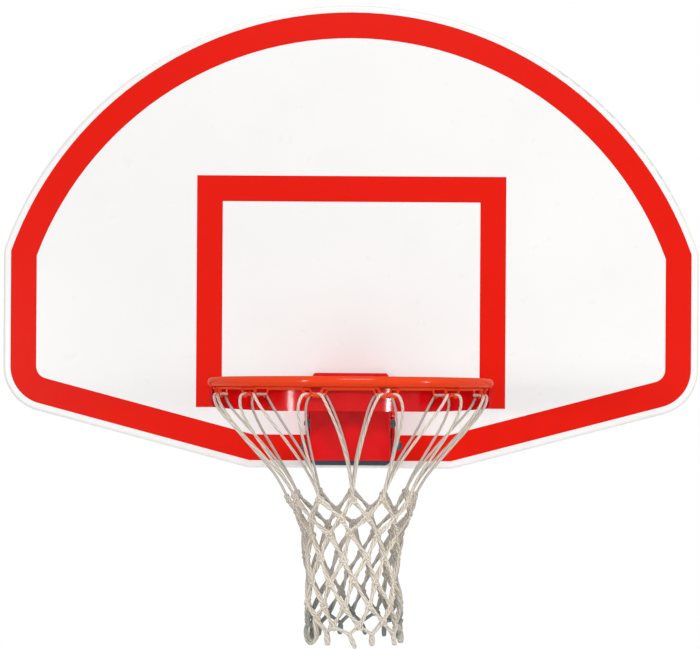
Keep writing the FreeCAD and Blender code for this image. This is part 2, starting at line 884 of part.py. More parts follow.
def make_cover_bolts():
    """A bolt on each side that holds the cover, with its head inside the cheek."""
    body = goal_body("cover_bolts")
    y = -named("cover_bolt_reach")
    z = -named("cover_bolt_drop")
    outer_end = shared.cover_outside + named("nut_height") + named("bolt_tail")
    for side in (-1, 1):
        seat = shared.cheek_inside - named("bolt_head")
        head = sketch_on(body, "YZ", sideways(seat, named("bolt_head"), side))
        hexagon(head, y, z, named("bolt_flats"))
        pad(body, head, named("bolt_head"))
        length = outer_end - shared.cheek_inside
        shank = sketch_on(body, "YZ", sideways(shared.cheek_inside, length, side))
        circle(shank, y, z, named("bolt_radius"))
        pad(body, shank, length)
    return body


def make_cover_nuts():
    """The cover bolts' nuts, beside the cover."""
    body = goal_body("cover_nuts")
    height = named("nut_height")
    for side in (-1, 1):
        sketch = sketch_on(body, "YZ", sideways(shared.cover_outside, height, side))
        hexagon(sketch, -named("cover_bolt_reach"), -named("cover_bolt_drop"), named("bolt_flats"))
        bore = named("bolt_radius") + named("thread_clearance")
        circle(sketch, -named("cover_bolt_reach"), -named("cover_bolt_drop"), bore)
        pad(body, sketch, height)
    return body


def make_spring_stud():
    """The stud welded to the bracket's web, which the spring sits on."""
    body = goal_body("spring_stud")
    length = shared.spring_nut_seat + named("spring_nut_height") + named("stud_tail") - shared.bolt_seat
    sketch = sketch_on(body, "XZ", shared.bolt_seat)
    circle(sketch, size_of(0.0), -named("spring_drop"), named("stud_radius"))
    pad(body, sketch, length)
    return body


def make_stud_ring(label, outer, bore, offset, length):
    """A flat ring round the spring stud."""
    body = goal_body(label)
    sketch = sketch_on(body, "XZ", offset)
    circle(sketch, size_of(0.0), -named("spring_drop"), outer)
    circle(sketch, size_of(0.0), -named("spring_drop"), bore)
    pad(body, sketch, length)
    return body


def make_spring_seat():
    """The seat that carries the spring on the carrier plate."""
    return make_stud_ring(
        "spring_seat",
        named("seat_radius"),
        named("seat_bore_radius"),
        shared.carrier_front,
        named("seat_thickness"),
    )


def make_spring_washer():
    """The thick washer between the spring and its lock nut."""
    return make_stud_ring(
        "spring_washer",
        named("seat_radius"),
        named("stud_radius") + named("thread_clearance"),
        shared.spring_end,
        named("spring_washer_thickness"),
    )


def make_spring_nut():
    """The lock nut that sets the spring's load."""
    body = goal_body("spring_nut")
    sketch = sketch_on(body, "XZ", shared.spring_nut_seat)
    hexagon(sketch, size_of(0.0), -named("spring_drop"), named("spring_nut_flats"))
    bore = named("stud_radius") + named("thread_clearance")
    circle(sketch, size_of(0.0), -named("spring_drop"), bore)
    pad(body, sketch, named("spring_nut_height"))
    return body


def half_arc(start, apex, end):
    """The arc from start to end whose end tangents meet at apex, as far from one end as the other."""
    chord_middle = (start + end) * 0.5
    cosine_half = (end - start).Length / 2 / (apex - start).Length
    middle = chord_middle + (apex - chord_middle) * (cosine_half / (1 + cosine_half))
    return Part.Arc(start, middle, end).toShape()


def biarc(start, start_way, end, end_way):
    """Two tangent arcs from start to end with the given unit directions."""
    span = end - start
    ways = start_way + end_way
    spread = 2 * (1 - start_way.dot(end_way))
    reach = (math.sqrt(span.dot(ways) ** 2 + spread * span.dot(span)) - span.dot(ways)) / spread
    first_apex = start + start_way * reach
    second_apex = end - end_way * reach
    joint = (first_apex + second_apex) * 0.5
    return [half_arc(start, first_apex, joint), half_arc(joint, second_apex, end)]


def round_section(point, way, radius):
    """A wire's round section, square to its path."""
    return Part.Wire([Part.Circle(point, way, radius).toShape()])


def tube(edges, way, radius):
    """A round tube along a path of tangent edges, with its volume compared to its length."""
    path = Part.Wire(edges)
    start = edges[0].valueAt(edges[0].FirstParameter)
    solid = path.makePipeShell([round_section(start, way, radius)], True, False)
    wanted = math.pi * radius ** 2 * path.Length
    if abs(solid.Volume / wanted - 1) > 0.02:
        raise ValueError("a tube has volume %.1f, not %.1f" % (solid.Volume, wanted))
    return solid


def spring_stations():
    """Turn counts and positions along the axis of the spring's half turns: close end turns, open middle."""
    wire = 2 * named("spring_wire_radius").value
    close_pitch = wire + named("spring_end_gap").value
    turns = named("spring_turns").value
    open_pitch = (named("spring_length").value - wire - 2 * close_pitch) / turns
    halves = int(round(2 * (turns + 2)))
    along = [0.0]
    pitches = []
    for half in range(halves):
        end_turn = half < 2 or half >= halves - 2
        pitches.append(close_pitch if end_turn else open_pitch)
        along.append(along[-1] + pitches[-1] / 2)
    return along, pitches


def make_spring():
    """The compression spring on the stud, one round wire in biarcs of half a turn."""
    radius = named("spring_radius").value
    wire = named("spring_wire_radius").value
    along, pitches = spring_stations()
    first = shared.spring_start.value + wire
    drop = named("spring_drop").value
    points = []
    ways = []
    for half, distance in enumerate(along):
        angle = math.pi * half
        beside = pitches[max(half - 1, 0) : half + 1]
        pitch = sum(beside) / len(beside)
        points.append(Vector(radius * math.cos(angle), -first - distance, radius * math.sin(angle) - drop))
        way = Vector(-math.sin(angle), -pitch / (2 * math.pi * radius), math.cos(angle))
        ways.append(way.normalize())
    edges = []
    for half in range(len(along) - 1):
        edges += biarc(points[half], ways[half], points[half + 1], ways[half + 1])
    solid = tube(edges, ways[0], wire)
    print_coil_gap(edges, wire, radius)
    feature = doc.addObject("Part::Feature", "spring")
    feature.Shape = solid
    set_place(feature, shared.datum_y, shared.datum_z)
    return feature


def print_coil_gap(edges, wire, radius):
    """Measures on points how near a coil's turns come to each other."""
    samples = []
    for edge in edges:
        samples += edge.discretize(13)[:-1]
    step = sum(edge.Length for edge in edges) / len(samples)
    apart = int(math.pi * radius / step)
    least = min(
        (a - b).Length for i, a in enumerate(samples) for b in samples[i + apart :]
    )
    print("spring: least gap between turns %.2f mm" % (least - 2 * wire))


def make_ring():
    """The ring's round bar."""
    feature = doc.addObject("Part::Torus", "ring")
    feature.setExpression("Radius1", shared.rod_circle.text)
    feature.setExpression("Radius2", "Sizes.rod_radius")
    set_place(feature, shared.ring_y, shared.datum_z)
    return feature


def make_ring_strap():
    """The flat strap bent under the rear half of the ring, shallower and rounded at its front ends."""
    body = new_body("ring_strap", shared.ring_y, shared.datum_z)
    inside = named("strap_radius")
    outside = inside + named("strap_thickness")
    top = -(named("rod_radius") + named("weld_gap"))
    low = top - named("strap_height")
    sketch = sketch_on(body, "XZ")
    rectangle(sketch, inside, outside, low, top)
    feature = body.newObject("PartDesign::Revolution", "ring_strap_bend")
    feature.Profile = sketch
    feature.ReferenceAxis = (sketch, ["V_Axis"])
    feature.setExpression("Angle", "Sizes.strap_angle")
    body.Tip = feature
    doc.recompute()
    reach = named("strap_taper_reach")
    beyond = named("strap_thickness")
    rise = named("strap_taper_rise")
    taper = sketch_on(body, "YZ", outside)
    under = low - beyond
    ahead = low + rise * (reach + beyond) / reach
    outline(taper, [(reach, low), (reach, under), (-beyond, under), (-beyond, ahead)])
    cut_through(body, taper, False)
    tapered = body.Tip
    ends = []
    for number, edge in enumerate(tapered.Shape.Edges, start=1):
        level = lies_at(edge, {"z": low + rise})
        if level and abs(edge.Length - named("strap_thickness").value) < NEAR:
            ends.append("Edge%d" % number)
    rounded = body.newObject("PartDesign::Fillet", "ring_strap_round")
    rounded.Base = (tapered, ends)
    rounded.setExpression("Radius", "Sizes.strap_end_radius")
    body.Tip = rounded
    doc.recompute()
    return body


def rounded_path(points, radii):
    """Straight runs joined by tangent arcs. radii holds one radius for each inner point."""
    edges = []
    last = points[0]
    for before, here, after, radius in zip(points, points[1:], points[2:], radii):
        back = (before - here).normalize()
        ahead = (after - here).normalize()
        half_turn = (math.pi - back.getAngle(ahead)) / 2
        setback = radius * math.tan(half_turn)
        start = here + back * setback
        end = here + ahead * setback
        if (start - last).Length > NEAR:
            edges.append(Part.LineSegment(last, start).toShape())
        edges.append(half_arc(start, here, end))
        last = end
    edges.append(Part.LineSegment(last, points[-1]).toShape())
    return edges


def make_net_wire():
    """The wire under the ring, bent into a double hook for each loop of the net."""
    circle_radius = named("hook_circle_radius").value
    level = -(named("rod_radius") + named("wire_radius") + named("weld_gap")).value
    dip = level - named("hook_depth").value
    hump = level - named("hook_hump_depth").value
    shoulder = named("hook_shoulder").value
    half = named("hook_half_width").value
    bend = named("hook_bend_radius").value
    part_angle = math.pi / HOOKS
    run = circle_radius * math.tan(part_angle) - shoulder - named("hook_lead").value
    run_radius = run / math.tan(part_angle)
    corner = Vector(circle_radius * math.tan(part_angle), -circle_radius, level)
    arc_middle = Vector(math.sin(part_angle), -math.cos(part_angle), 0)
    arc_middle *= circle_radius / math.cos(part_angle) - run_radius * (1 / math.cos(part_angle) - 1)
    arc_middle.z = level
    arc_start = Vector(shoulder + named("hook_lead").value, -circle_radius, level)
    bends = [(-shoulder, level), (-half, dip), (0.0, hump), (half, dip), (shoulder, level)]
    mirrored = Vector(-arc_start.x, arc_start.y, level)
    points = [mirrored] + [Vector(x, -circle_radius, z) for x, z in bends] + [arc_start]
    hook = rounded_path(points, [bend] * len(bends))
    apex = arc_start + (corner - arc_start).normalize() * (run_radius * math.tan(part_angle / 2))
    after = half_arc(arc_start, apex, arc_middle)
    before = after.mirror(Vector(0, 0, 0), Vector(1, 0, 0)).Edges[0]
    edges = Part.__sortEdges__([before] + hook + [after])
    start = edges[0].valueAt(edges[0].FirstParameter)
    way = edges[0].tangentAt(edges[0].FirstParameter)
    path = Part.Wire(edges)
    span = path.makePipeShell([round_section(start, way, named("wire_radius").value)], True, False)
    spans = []
    for number in range(HOOKS):
        turned = span.copy()
        turned.rotate(Vector(0, 0, 0), Vector(0, 0, 1), (number + 0.5) * 360 / HOOKS)
        spans.append(turned)
    feature = doc.addObject("Part::Feature", "net_wire")
    feature.Shape = spans[0].multiFuse(spans[1:])
    set_place(feature, shared.ring_y, shared.datum_z)
    return feature


class NetSurface:
    """The funnel that the net hangs on, with flat cords laid on it as four-sided patches."""

    def __init__(self):
        self.top = named("net_top_drop").value
        self.hook = shared.net_hook_radius.value
        self.throat = named("net_throat_radius").value
        self.taper = named("net_taper_length").value
        self.cord = named("net_cord").value
        self.points = []
        self.patches = []

    def radius(self, drop):
        """Radius of the funnel at a depth below the rod's centre plane."""
        below = max(drop - self.top, 0.0)
        return self.throat + (self.hook - self.throat) * math.exp(-((below / self.taper) ** 2))

    def point(self, angle, drop, aside=0.0):
        """Adds a point at an angle from the court side, moved sideways along the funnel."""
        turned = angle + aside / self.radius(drop)
        self.points.append((turned, drop))
        return len(self.points) - 1

    def patch(self, *corners):
        """Adds one patch, with its corners clockwise as the court sees them at the front."""
        self.patches.append(corners)

    def place(self, number, outwards):
        """A point in space, on the inner or outer side of the cords."""
        angle, drop = self.points[number]
        reach = self.radius(drop) + outwards * self.cord / 2
        return Vector(reach * math.sin(angle), -reach * math.cos(angle), -drop)

    def rim_edges(self):
        """Sides of patches that no other patch shares: the walls of the net's gaps."""
        sides = set()
        for corners in self.patches:
            for one, two in zip(corners, corners[1:] + corners[:1]):
                sides.add((one, two))
        return [(one, two) for one, two in sides if (two, one) not in sides]

    def solid(self):
        """The net as one closed solid."""
        count = len(self.points)
        places = [self.place(n, 1) for n in range(count)] + [self.place(n, -1) for n in range(count)]
        faces = []
        for corners in self.patches:
            a, b, c, d = corners
            faces += [(a, b, c), (a, c, d)]
            faces += [(c + count, b + count, a + count), (d + count, c + count, a + count)]
        for one, two in sorted(self.rim_edges()):
            faces += [(two, one, one + count), (two, one + count, two + count)]
        shell = Part.Shape()
        shell.makeShapeFromMesh((places, faces), NEAR)
        solid = Part.makeSolid(shell)
        if solid.Volume < 0:
            solid.reverse()
        return solid


def net_knots(net):
    """Rows of crossing points, each with its left, top, right and bottom corner."""
    step = named("net_row_step").value
    rows = []
    for row in range(NET_ROWS):
        drop = named("net_knot_drop").value + row * step
        slope = math.atan2(net.radius(drop) * math.pi / HOOKS, step)
        tall = net.cord / 2 / math.sin(slope)
        wide = net.cord / 2 / math.cos(slope)
        knots = []
        for number in range(HOOKS):
            angle = (number + 0.5 * (row % 2)) * 2 * math.pi / HOOKS
            top = net.point(angle, drop - tall)
            low = net.point(angle, drop + tall)
            if row == NET_ROWS - 1:
                knots.append((low, top, low, low))
            else:
                left = net.point(angle, drop, -wide)
                right = net.point(angle, drop, wide)
                knots.append((left, top, right, low))
                net.patch(left, top, right, low)
        rows.append(knots)
    return rows


def hang_loop(net, number, knots):
    """One loop over a double hook: its top and the two strands down to the knots beside it."""
    middle = (number + 0.5) * 2 * math.pi / HOOKS
    aside = named("hook_half_width").value
    half = net.cord / 2
    knot_drop = named("net_knot_drop").value
    upper = {}
    for side in (-1, 1):
        outer = net.point(middle, net.top - half, side * (aside + half))
        inner = net.point(middle, net.top + half, side * (aside - half))
        upper[side] = (outer, inner)
    net.patch(upper[-1][0], upper[1][0], upper[1][1], upper[-1][1])
    for side in (-1, 1):
        outer, inner = upper[side]
        start = middle + side * aside / net.radius(net.top)
        end = middle + side * math.pi / HOOKS
        for span in range(1, STRAND_SPANS):
            share = span / STRAND_SPANS
            drop = net.top + share * (knot_drop - net.top)
            angle = start + share * (end - start)
            next_outer = net.point(angle, drop, side * half)
            next_inner = net.point(angle, drop, -side * half)
            add_strand(net, side, outer, inner, next_outer, next_inner)
            outer, inner = next_outer, next_inner
        left, top, right, low = knots[(number + (1 if side > 0 else 0)) % HOOKS]
        add_strand(net, side, outer, inner, top, left if side > 0 else right)


def add_strand(net, side, outer, inner, next_outer, next_inner):
    """One span of a strand, with its corners in the order that faces outwards."""
    if side > 0:
        net.patch(inner, outer, next_outer, next_inner)
    else:
        net.patch(outer, inner, next_inner, next_outer)


def make_net():
    """The net: twelve loops that run down to rows of knots and end in open points."""
    net = NetSurface()
    rows = net_knots(net)
    for number in range(HOOKS):
        hang_loop(net, number, rows[0])
    for row in range(NET_ROWS - 1):
        for number in range(HOOKS):
            left, top, right, low = rows[row][number]
            ahead = rows[row + 1][(number + row % 2) % HOOKS]
            behind = rows[row + 1][(number + row % 2 - 1) % HOOKS]
            net.patch(low, right, ahead[1], ahead[0])
            net.patch(left, low, behind[2], behind[1])
    feature = doc.addObject("Part::Feature", "net")
    feature.Shape = net.solid()
    set_place(feature, shared.ring_y, shared.datum_z)
    return feature


def build():
    """Makes every sub-part, in the order in which the goal is put together."""
    return [
        make_face_panel(),
        make_border_stripe(),
        make_target_stripe(),
        make_stiffener("left_stiffener", -1),
        make_stiffener("right_stiffener", 1),
        make_upper_crossbar(),
        make_goal_channel(),
        make_weld_nuts(),
        make_back_plate(),
        make_hinge_bracket(),
        make_goal_bolts(),
        make_goal_washers(),
        make_goal_nuts(),
        make_hinge_bolt(),
        make_hinge_washers(),
        make_hinge_nut(),
        make_hinge_sleeve(),
        make_thrust_washers(),
        make_spring_stud(),
        make_spring(),
        make_spring_washer(),
        make_spring_nut(),
        make_carrier_plate(),
        make_spring_seat(),
        make_arm_plate(),
        make_cheek("left_cheek", -1),
        make_cheek("right_cheek", 1),
        make_front_cover(),
        make_cover_bolts(),
        make_cover_nuts(),
        make_ring(),
        make_ring_strap(),
        make_net_wire(),
        make_net(),
    ]


def check(subparts):
    """Stops the build if anything in the document failed."""
    for obj in doc.Objects:
        if "Invalid" in obj.State or "Error" in obj.State:
            raise ValueError("%s failed: %s" % (obj.Label, obj.State))
    for subpart in subparts:
        if subpart.Shape.isNull() or not subpart.Shape.isValid():
            raise ValueError("%s has no valid shape" % subpart.Label)


fill_sheet()
shared = Derived()
SUBPARTS = build()
doc.recompute()
check(SUBPARTS)
os.makedirs("parts", exist_ok=True)
for subpart in SUBPARTS:
    subpart.Shape.exportStep("parts/%s.step" % subpart.Label)
    print("%s: %d solids, %.0f mm3" % (subpart.Label, len(subpart.Shape.Solids), subpart.Shape.Volume))
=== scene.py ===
"""Looks of a fan-shaped basketball backboard: finishes, cord net, fasteners, welds and a studio."""

import math
import random
from collections import namedtuple

import bmesh
import bpy
import numpy
from bpy.props import FloatProperty, FloatVectorProperty, IntProperty, PointerProperty
from mathutils import Matrix, Vector


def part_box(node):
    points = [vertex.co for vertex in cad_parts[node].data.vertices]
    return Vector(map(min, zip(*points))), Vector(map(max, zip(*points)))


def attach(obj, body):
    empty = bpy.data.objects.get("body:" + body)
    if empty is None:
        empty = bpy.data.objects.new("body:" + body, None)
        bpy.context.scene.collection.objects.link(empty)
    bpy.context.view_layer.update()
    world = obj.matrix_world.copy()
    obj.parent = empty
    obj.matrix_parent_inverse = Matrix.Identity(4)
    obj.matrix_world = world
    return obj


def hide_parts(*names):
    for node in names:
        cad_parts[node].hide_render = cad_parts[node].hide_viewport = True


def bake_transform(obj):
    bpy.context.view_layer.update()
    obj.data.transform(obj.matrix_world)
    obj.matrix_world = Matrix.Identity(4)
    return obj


bl_info = {
    "name": "Backboard looks",
    "version": (1, 0, 0),
    "blender": (4, 5, 0),
    "location": "3D View > Sidebar > Backboard",
    "description": "Finishes, net, fasteners and studio for a fan-shaped basketball backboard",
    "category": "Object",
}

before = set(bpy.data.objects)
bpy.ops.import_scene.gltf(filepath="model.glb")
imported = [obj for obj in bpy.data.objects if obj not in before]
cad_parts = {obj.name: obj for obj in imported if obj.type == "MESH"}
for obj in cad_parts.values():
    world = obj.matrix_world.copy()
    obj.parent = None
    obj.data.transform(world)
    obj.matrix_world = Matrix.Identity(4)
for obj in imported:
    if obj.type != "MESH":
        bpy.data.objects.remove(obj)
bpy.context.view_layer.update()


def middle_of(node):
    """The middle of a CAD node's box."""
    low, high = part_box(node)
    return (low + high) / 2


RING = middle_of("ring")
FACE_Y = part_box("face_panel")[0].y
MM = 0.001
WHITE = (1.0, 1.0, 1.0, 1.0)


def colour(name, about, red, green, blue):
    """A colour property, written as the 0 to 255 values that a picture would show."""
    shown = tuple(to_linear(part / 255) for part in (red, green, blue))
    return FloatVectorProperty(name=name, description=about, subtype="COLOR", default=shown, min=0, max=1)


def to_linear(part):
    """One colour part from the display's scale to the light's."""
    return part / 12.92 if part <= 0.04045 else ((part + 0.055) / 1.055) ** 2.4


def length(name, about, millimetres):
    """A length property in metres."""
    return FloatProperty(name=name, description=about, unit="LENGTH", default=millimetres * MM, precision=5)


class BackboardColours(bpy.types.PropertyGroup):
    """Colours of paint, plating and cord."""

    board: colour("Board", "White powder coat of the pan", 243, 243, 242)
    stripe: colour("Stripes", "Printed border and target", 227, 24, 8)
    bracket: colour("Bracket", "Powder coat of the bracket, cover and strap", 220, 12, 18)
    ring: colour("Ring", "Enamel of the ring and its net wire", 236, 61, 3)
    plate: colour("Back plate", "Dull plating of the plate behind the goal", 66, 78, 92)
    zinc: colour("Zinc", "Dark zinc of bolts, nuts and washers", 86, 95, 104)
    spring: colour("Spring", "Oiled spring steel", 58, 58, 62)
    cord: colour("Cord", "Undyed cord of the net", 250, 240, 223)


class BackboardSizes(bpy.types.PropertyGroup):
    """Sizes of what is modelled here and not in the part's solids."""

    cord_radius: length("Cord radius", "Half the thickness of a single cord", 2.3)
    mesh_cord_radius: length("Mesh cord radius", "Half the thickness of each cord of a doubled side", 2.6)
    lay: length("Lay", "Length of one turn of the cord's twist", 13.0)
    sway: length("Sway", "How far a knot hangs from its even place", 4.2)
    seed: IntProperty(name="Seed", description="Starts the net's unevenness", default=7)
    thread_pitch: length("Thread pitch", "Step of the bolts' threads", 1.5)
    bead_radius: length("Weld bead", "Half the width of a weld bead", 2.4)


class Value:
    """A shader output that takes part in Python expressions, each of which adds its Math node."""

    def __init__(self, nodes, socket):
        self.nodes = nodes
        self.socket = socket

    def joined(self, operation, first, second):
        """Two values or numbers joined by one Math node."""
        return self.nodes.node("ShaderNodeMath", {"operation": operation}, {0: first, 1: second})

    def __add__(self, other):
        return self.joined("ADD", self, other)

    def __radd__(self, other):
        return self.joined("ADD", other, self)

    def __sub__(self, other):
        return self.joined("SUBTRACT", self, other)

    def __rsub__(self, other):
        return self.joined("SUBTRACT", other, self)

    def __mul__(self, other):
        return self.joined("MULTIPLY", self, other)

    def __rmul__(self, other):
        return self.joined("MULTIPLY", other, self)

    def __truediv__(self, other):
        return self.joined("DIVIDE", self, other)

    def step(self, low, high):
        """0 below low, 1 above high, and a soft rise between them."""
        settings = {"interpolation_type": "SMOOTHSTEP"}
        return self.nodes.node("ShaderNodeMapRange", settings, {0: self, 1: low, 2: high})

    def larger(self, other):
        """The larger of two values."""
        return self.joined("MAXIMUM", self, other)

    def sine(self):
        """The sine of an angle in radians."""
        return self.nodes.node("ShaderNodeMath", {"operation": "SINE"}, {0: self})


class Nodes:
    """A node tree to which nodes are added one by one."""

    def __init__(self, tree):
        self.tree = tree

    def node(self, kind, settings=None, sockets=None, output=0):
        """Adds a node, sets it up, feeds its sockets and returns one of its outputs."""
        made = self.tree.nodes.new(kind)
        for name, setting in (settings or {}).items():
            setattr(made, name, setting)
        for name, fed in (sockets or {}).items():
            self.feed(made.inputs[name], fed)
        return Value(self, made.outputs[output]) if made.outputs else None

    def feed(self, socket, fed):
        """Links a value to a socket, or sets a plain number or colour on it."""
        if isinstance(fed, Value):
            self.tree.links.new(fed.socket, socket)
        else:
            socket.default_value = fed


class Finish(Nodes):
    """A material built from nodes. Numbers that are the same all over sit on the shader's own sockets."""

    def __init__(self, name, **constants):
        self.material = bpy.data.materials.new(name)
        self.material.use_nodes = True
        super().__init__(self.material.node_tree)
        self.shader = self.tree.nodes["Principled BSDF"]
        for socket, number in constants.items():
            self.surface(socket.replace("_", " "), number)
        self.place = self.node("ShaderNodeTexCoord", output="Object")

    def surface(self, name, fed):
        """Feeds one input of the shader."""
        self.feed(self.shader.inputs[name], fed)

    def noise(self, scale, detail=2.0, roughness=0.5, at=None):
        """Cloudy noise from 0 to 1."""
        sockets = {"Vector": at or self.place, "Scale": scale, "Detail": detail, "Roughness": roughness}
        return self.node("ShaderNodeTexNoise", {}, sockets)

    def stretched(self, x, y, z):
        """The place on the object, scaled along each axis."""
        return self.node("ShaderNodeMapping", {"vector_type": "POINT"}, {0: self.place, 3: (x, y, z)})

    def mix(self, factor, first, second):
        """One colour laid over another."""
        sockets = {0: factor, 6: first, 7: second}
        return self.node("ShaderNodeMix", {"data_type": "RGBA"}, sockets, output=2)

    def axis(self, name, of=None):
        """One coordinate of the place on the object."""
        return self.node("ShaderNodeSeparateXYZ", {}, {0: of or self.place}, output=name)

    def bump(self, height, strength, distance, under=None):
        """A bumpy surface from a height in 0 to 1."""
        sockets = {"Height": height, "Strength": strength, "Distance": distance}
        if under:
            sockets["Normal"] = under
        return self.node("ShaderNodeBump", {}, sockets)


def opaque(shade, by=1.0):
    """A property's colour as four parts, made lighter or darker."""
    return tuple(min(1.0, part * by) for part in shade) + (1.0,)


ROAD_DUST = (0.62, 0.60, 0.56)
WELD_DUST = (0.6, 0.58, 0.55)
THICK_RED = (0.30, 0.03, 0.02)
GRIMY_RED = (0.16, 0.01, 0.012)
GRIMY_ORANGE = (0.20, 0.02, 0.008)
DARK_PRIMER = (0.10, 0.085, 0.08, 1.0)
RUSTY_PRIMER = (0.14, 0.07, 0.05, 1.0)
BROWN_STAIN = (0.12, 0.065, 0.04, 1.0)
# Painted shades for the net: grey for its far side, dark teal for its lowest cords
SHADED_CORD = (0.30, 0.29, 0.27, 1.0)
TEAL_FOOT_SHADE = (0.08, 0.15, 0.155, 1.0)
LACQUER = {"Specular_IOR_Level": 0.0, "Coat_Weight": 0.21, "Coat_IOR": 1.8, "Coat_Roughness": 0.10}


def sprayed(name, shade, gloss, peel, soil, soil_shade, **constants):
    """Sprayed paint: slight clouds in the colour, orange peel, and soil in patches."""
    finish = Finish(name, **constants)
    clouds = finish.noise(scale=4.0, detail=4.0)
    patches = finish.noise(scale=11.0, detail=6.0, roughness=0.62).step(0.52, 0.80)
    body = finish.mix(clouds, opaque(shade, 0.955), opaque(shade, 1.03))
    finish.surface("Base Color", finish.mix(patches * soil, body, opaque(soil_shade)))
    mottle = finish.noise(scale=26.0, detail=3.0)
    finish.surface("Roughness", gloss + 0.10 * mottle + patches * soil * 0.4)
    finish.surface("Normal", finish.bump(finish.noise(scale=620.0), strength=peel, distance=0.4 * MM))
    return finish


def add_chips(finish, share, under):
    """Small chips through the paint, down to what lies under it."""
    paint = Value(finish, finish.shader.inputs["Base Color"].links[0].from_socket)
    chips = finish.noise(scale=95.0, detail=5.0, roughness=0.6).step(share, share + 0.03)
    finish.surface("Base Color", finish.mix(chips, paint, under))


def board_paint(shades):
    """White powder coat with a trace of road dust."""
    coat = {"gloss": 0.24, "peel": 0.06, "soil": 0.05, "soil_shade": ROAD_DUST}
    return sprayed("board_paint", shades.board, **coat, Specular_IOR_Level=0.3)


def stripe_paint(shades):
    """Screen-printed red that is thicker and so darker in places."""
    coat = {"gloss": 0.34, "peel": 0.05, "soil": 0.06, "soil_shade": THICK_RED}
    return sprayed("stripe_paint", shades.stripe, **coat, Specular_IOR_Level=0.08)


def red_coat(name, shade, **shine):
    """Thick red powder coat, rubbed to primer in small spots."""
    finish = sprayed(name, shade, gloss=0.06, peel=0.08, soil=0.10, soil_shade=GRIMY_RED, **shine)
    add_chips(finish, 0.735, DARK_PRIMER)
    return finish


def bracket_paint(shades):
    """Red coat of the bracket, the carrier and the cover."""
    return red_coat("bracket_paint", shades.bracket, Specular_IOR_Level=0.16)


def strap_paint(shades):
    """The same red under lacquer, on the strap below the ring."""
    return red_coat("strap_paint", shades.bracket, **LACQUER)


def ring_paint(shades):
    """Orange-red enamel under lacquer, chipped in small spots."""
    coat = {"gloss": 0.09, "peel": 0.06, "soil": 0.08, "soil_shade": GRIMY_ORANGE}
    finish = sprayed("ring_paint", shades.ring, **coat, **LACQUER)
    add_chips(finish, 0.725, RUSTY_PRIMER)
    return finish


def plated(name, shade, dull, mottle):
    """Zinc plating: cloudy, with fine rub marks."""
    finish = Finish(name, Metallic=1.0)
    clouds = finish.noise(scale=mottle, detail=5.0, roughness=0.6)
    marks = finish.noise(scale=3.0, detail=3.0, roughness=0.6, at=finish.stretched(900.0, 900.0, 90.0))
    finish.surface("Base Color", finish.mix(clouds, opaque(shade, 0.72), opaque(shade, 1.12)))
    finish.surface("Roughness", dull + 0.16 * clouds + 0.06 * marks)
    finish.surface("Normal", finish.bump(marks, strength=0.10, distance=0.2 * MM))
    return finish


def plate_finish(shades):
    """Dull slate-coloured plating on the plate behind the goal."""
    finish = Finish("plate_finish", Metallic=0.25)
    clouds = finish.noise(scale=38.0, detail=6.0, roughness=0.65)
    shade = shades.plate
    finish.surface("Base Color", finish.mix(clouds, opaque(shade, 0.72), opaque(shade, 1.3)))
    finish.surface("Roughness", 0.36 + 0.2 * clouds)
    grain = finish.noise(scale=500.0, detail=3.0)
    finish.surface("Normal", finish.bump(grain, strength=0.08, distance=0.3 * MM))
    return finish


def cord_finish(shades, sizes):
    """Twisted cord: three yarns wind round it with painted shade in the grooves between them, stray fibre,
    painted shade that greys the far side, and a dark teal painted shade on the foot.
    """
    yarns = 3.0
    foot_drop = 345 * MM
    finish = Finish("cord_finish", Specular_IOR_Level=0.25, Sheen_Weight=0.25, Sheen_Roughness=0.5)
    laid = finish.node("ShaderNodeUVMap", {"uv_map": "UVMap"})
    along = finish.axis("X", laid)
    around = finish.axis("Y", laid)
    winding = ((around * yarns + along / sizes.lay) * (2 * math.pi)).sine() * 0.5 + 0.5
    fibre = finish.noise(scale=1500.0)
    clouds = finish.noise(scale=22.0, detail=4.0, roughness=0.6)
    yarn = finish.mix(clouds, opaque(shades.cord, 0.70), opaque(shades.cord, 1.04))
    # Painted shade: the grooves between the yarns are darkened to about half the cord's colour
    yarn = finish.mix(winding.step(0.0, 0.42), opaque(shades.cord, 0.54), yarn)
    foot = (RING.z - foot_drop - finish.axis("Z")).step(0.0, 80 * MM)
    # Painted shade: cords behind the ring's middle are mixed towards a grey shade, with a wavering edge
    wavering = 40 * MM * finish.noise(scale=16.0)
    rear = (finish.axis("Y") - RING.y + wavering).step(-30 * MM, 50 * MM)
    yarn = finish.mix(rear * 0.55, yarn, SHADED_CORD)
    # Painted shade: the lowest cords are tinted dark teal, faintly at the front and strongly on the far
    # side
    finish.surface("Base Color", finish.mix(foot * (0.10 + 0.62 * rear), yarn, TEAL_FOOT_SHADE))
    finish.surface("Roughness", 0.74 + 0.16 * fibre)
    twist = finish.bump(winding, strength=0.65, distance=1.0 * MM)
    finish.surface("Normal", finish.bump(fibre, strength=0.22, distance=0.3 * MM, under=twist))
    return finish


def spring_finish(shades):
    """Dark oiled steel with brown stains."""
    finish = Finish("spring_finish", Metallic=1.0)
    stains = finish.noise(scale=80.0, detail=5.0, roughness=0.65).step(0.5, 0.75)
    finish.surface("Base Color", finish.mix(stains, opaque(shades.spring, 1.6), BROWN_STAIN))
    finish.surface("Roughness", 0.30 + 0.28 * stains)
    return finish


def dress(nodes, finish):
    """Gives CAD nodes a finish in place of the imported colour."""
    for name in nodes:
        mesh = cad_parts[name].data
        mesh.materials.clear()
        mesh.materials.append(finish.material)


def finished_piece(name, mesh, finish, body, stands_for=()):
    """Puts a mesh into the scene as a piece that rides on a CAD body, or on none yet."""
    mesh.materials.clear()
    mesh.materials.append(finish.material)
    piece = bpy.data.objects.new(name, mesh)
    bpy.context.scene.collection.objects.link(piece)
    if body:
        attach(piece, body)
    if stands_for:
        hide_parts(*stands_for)
    return piece


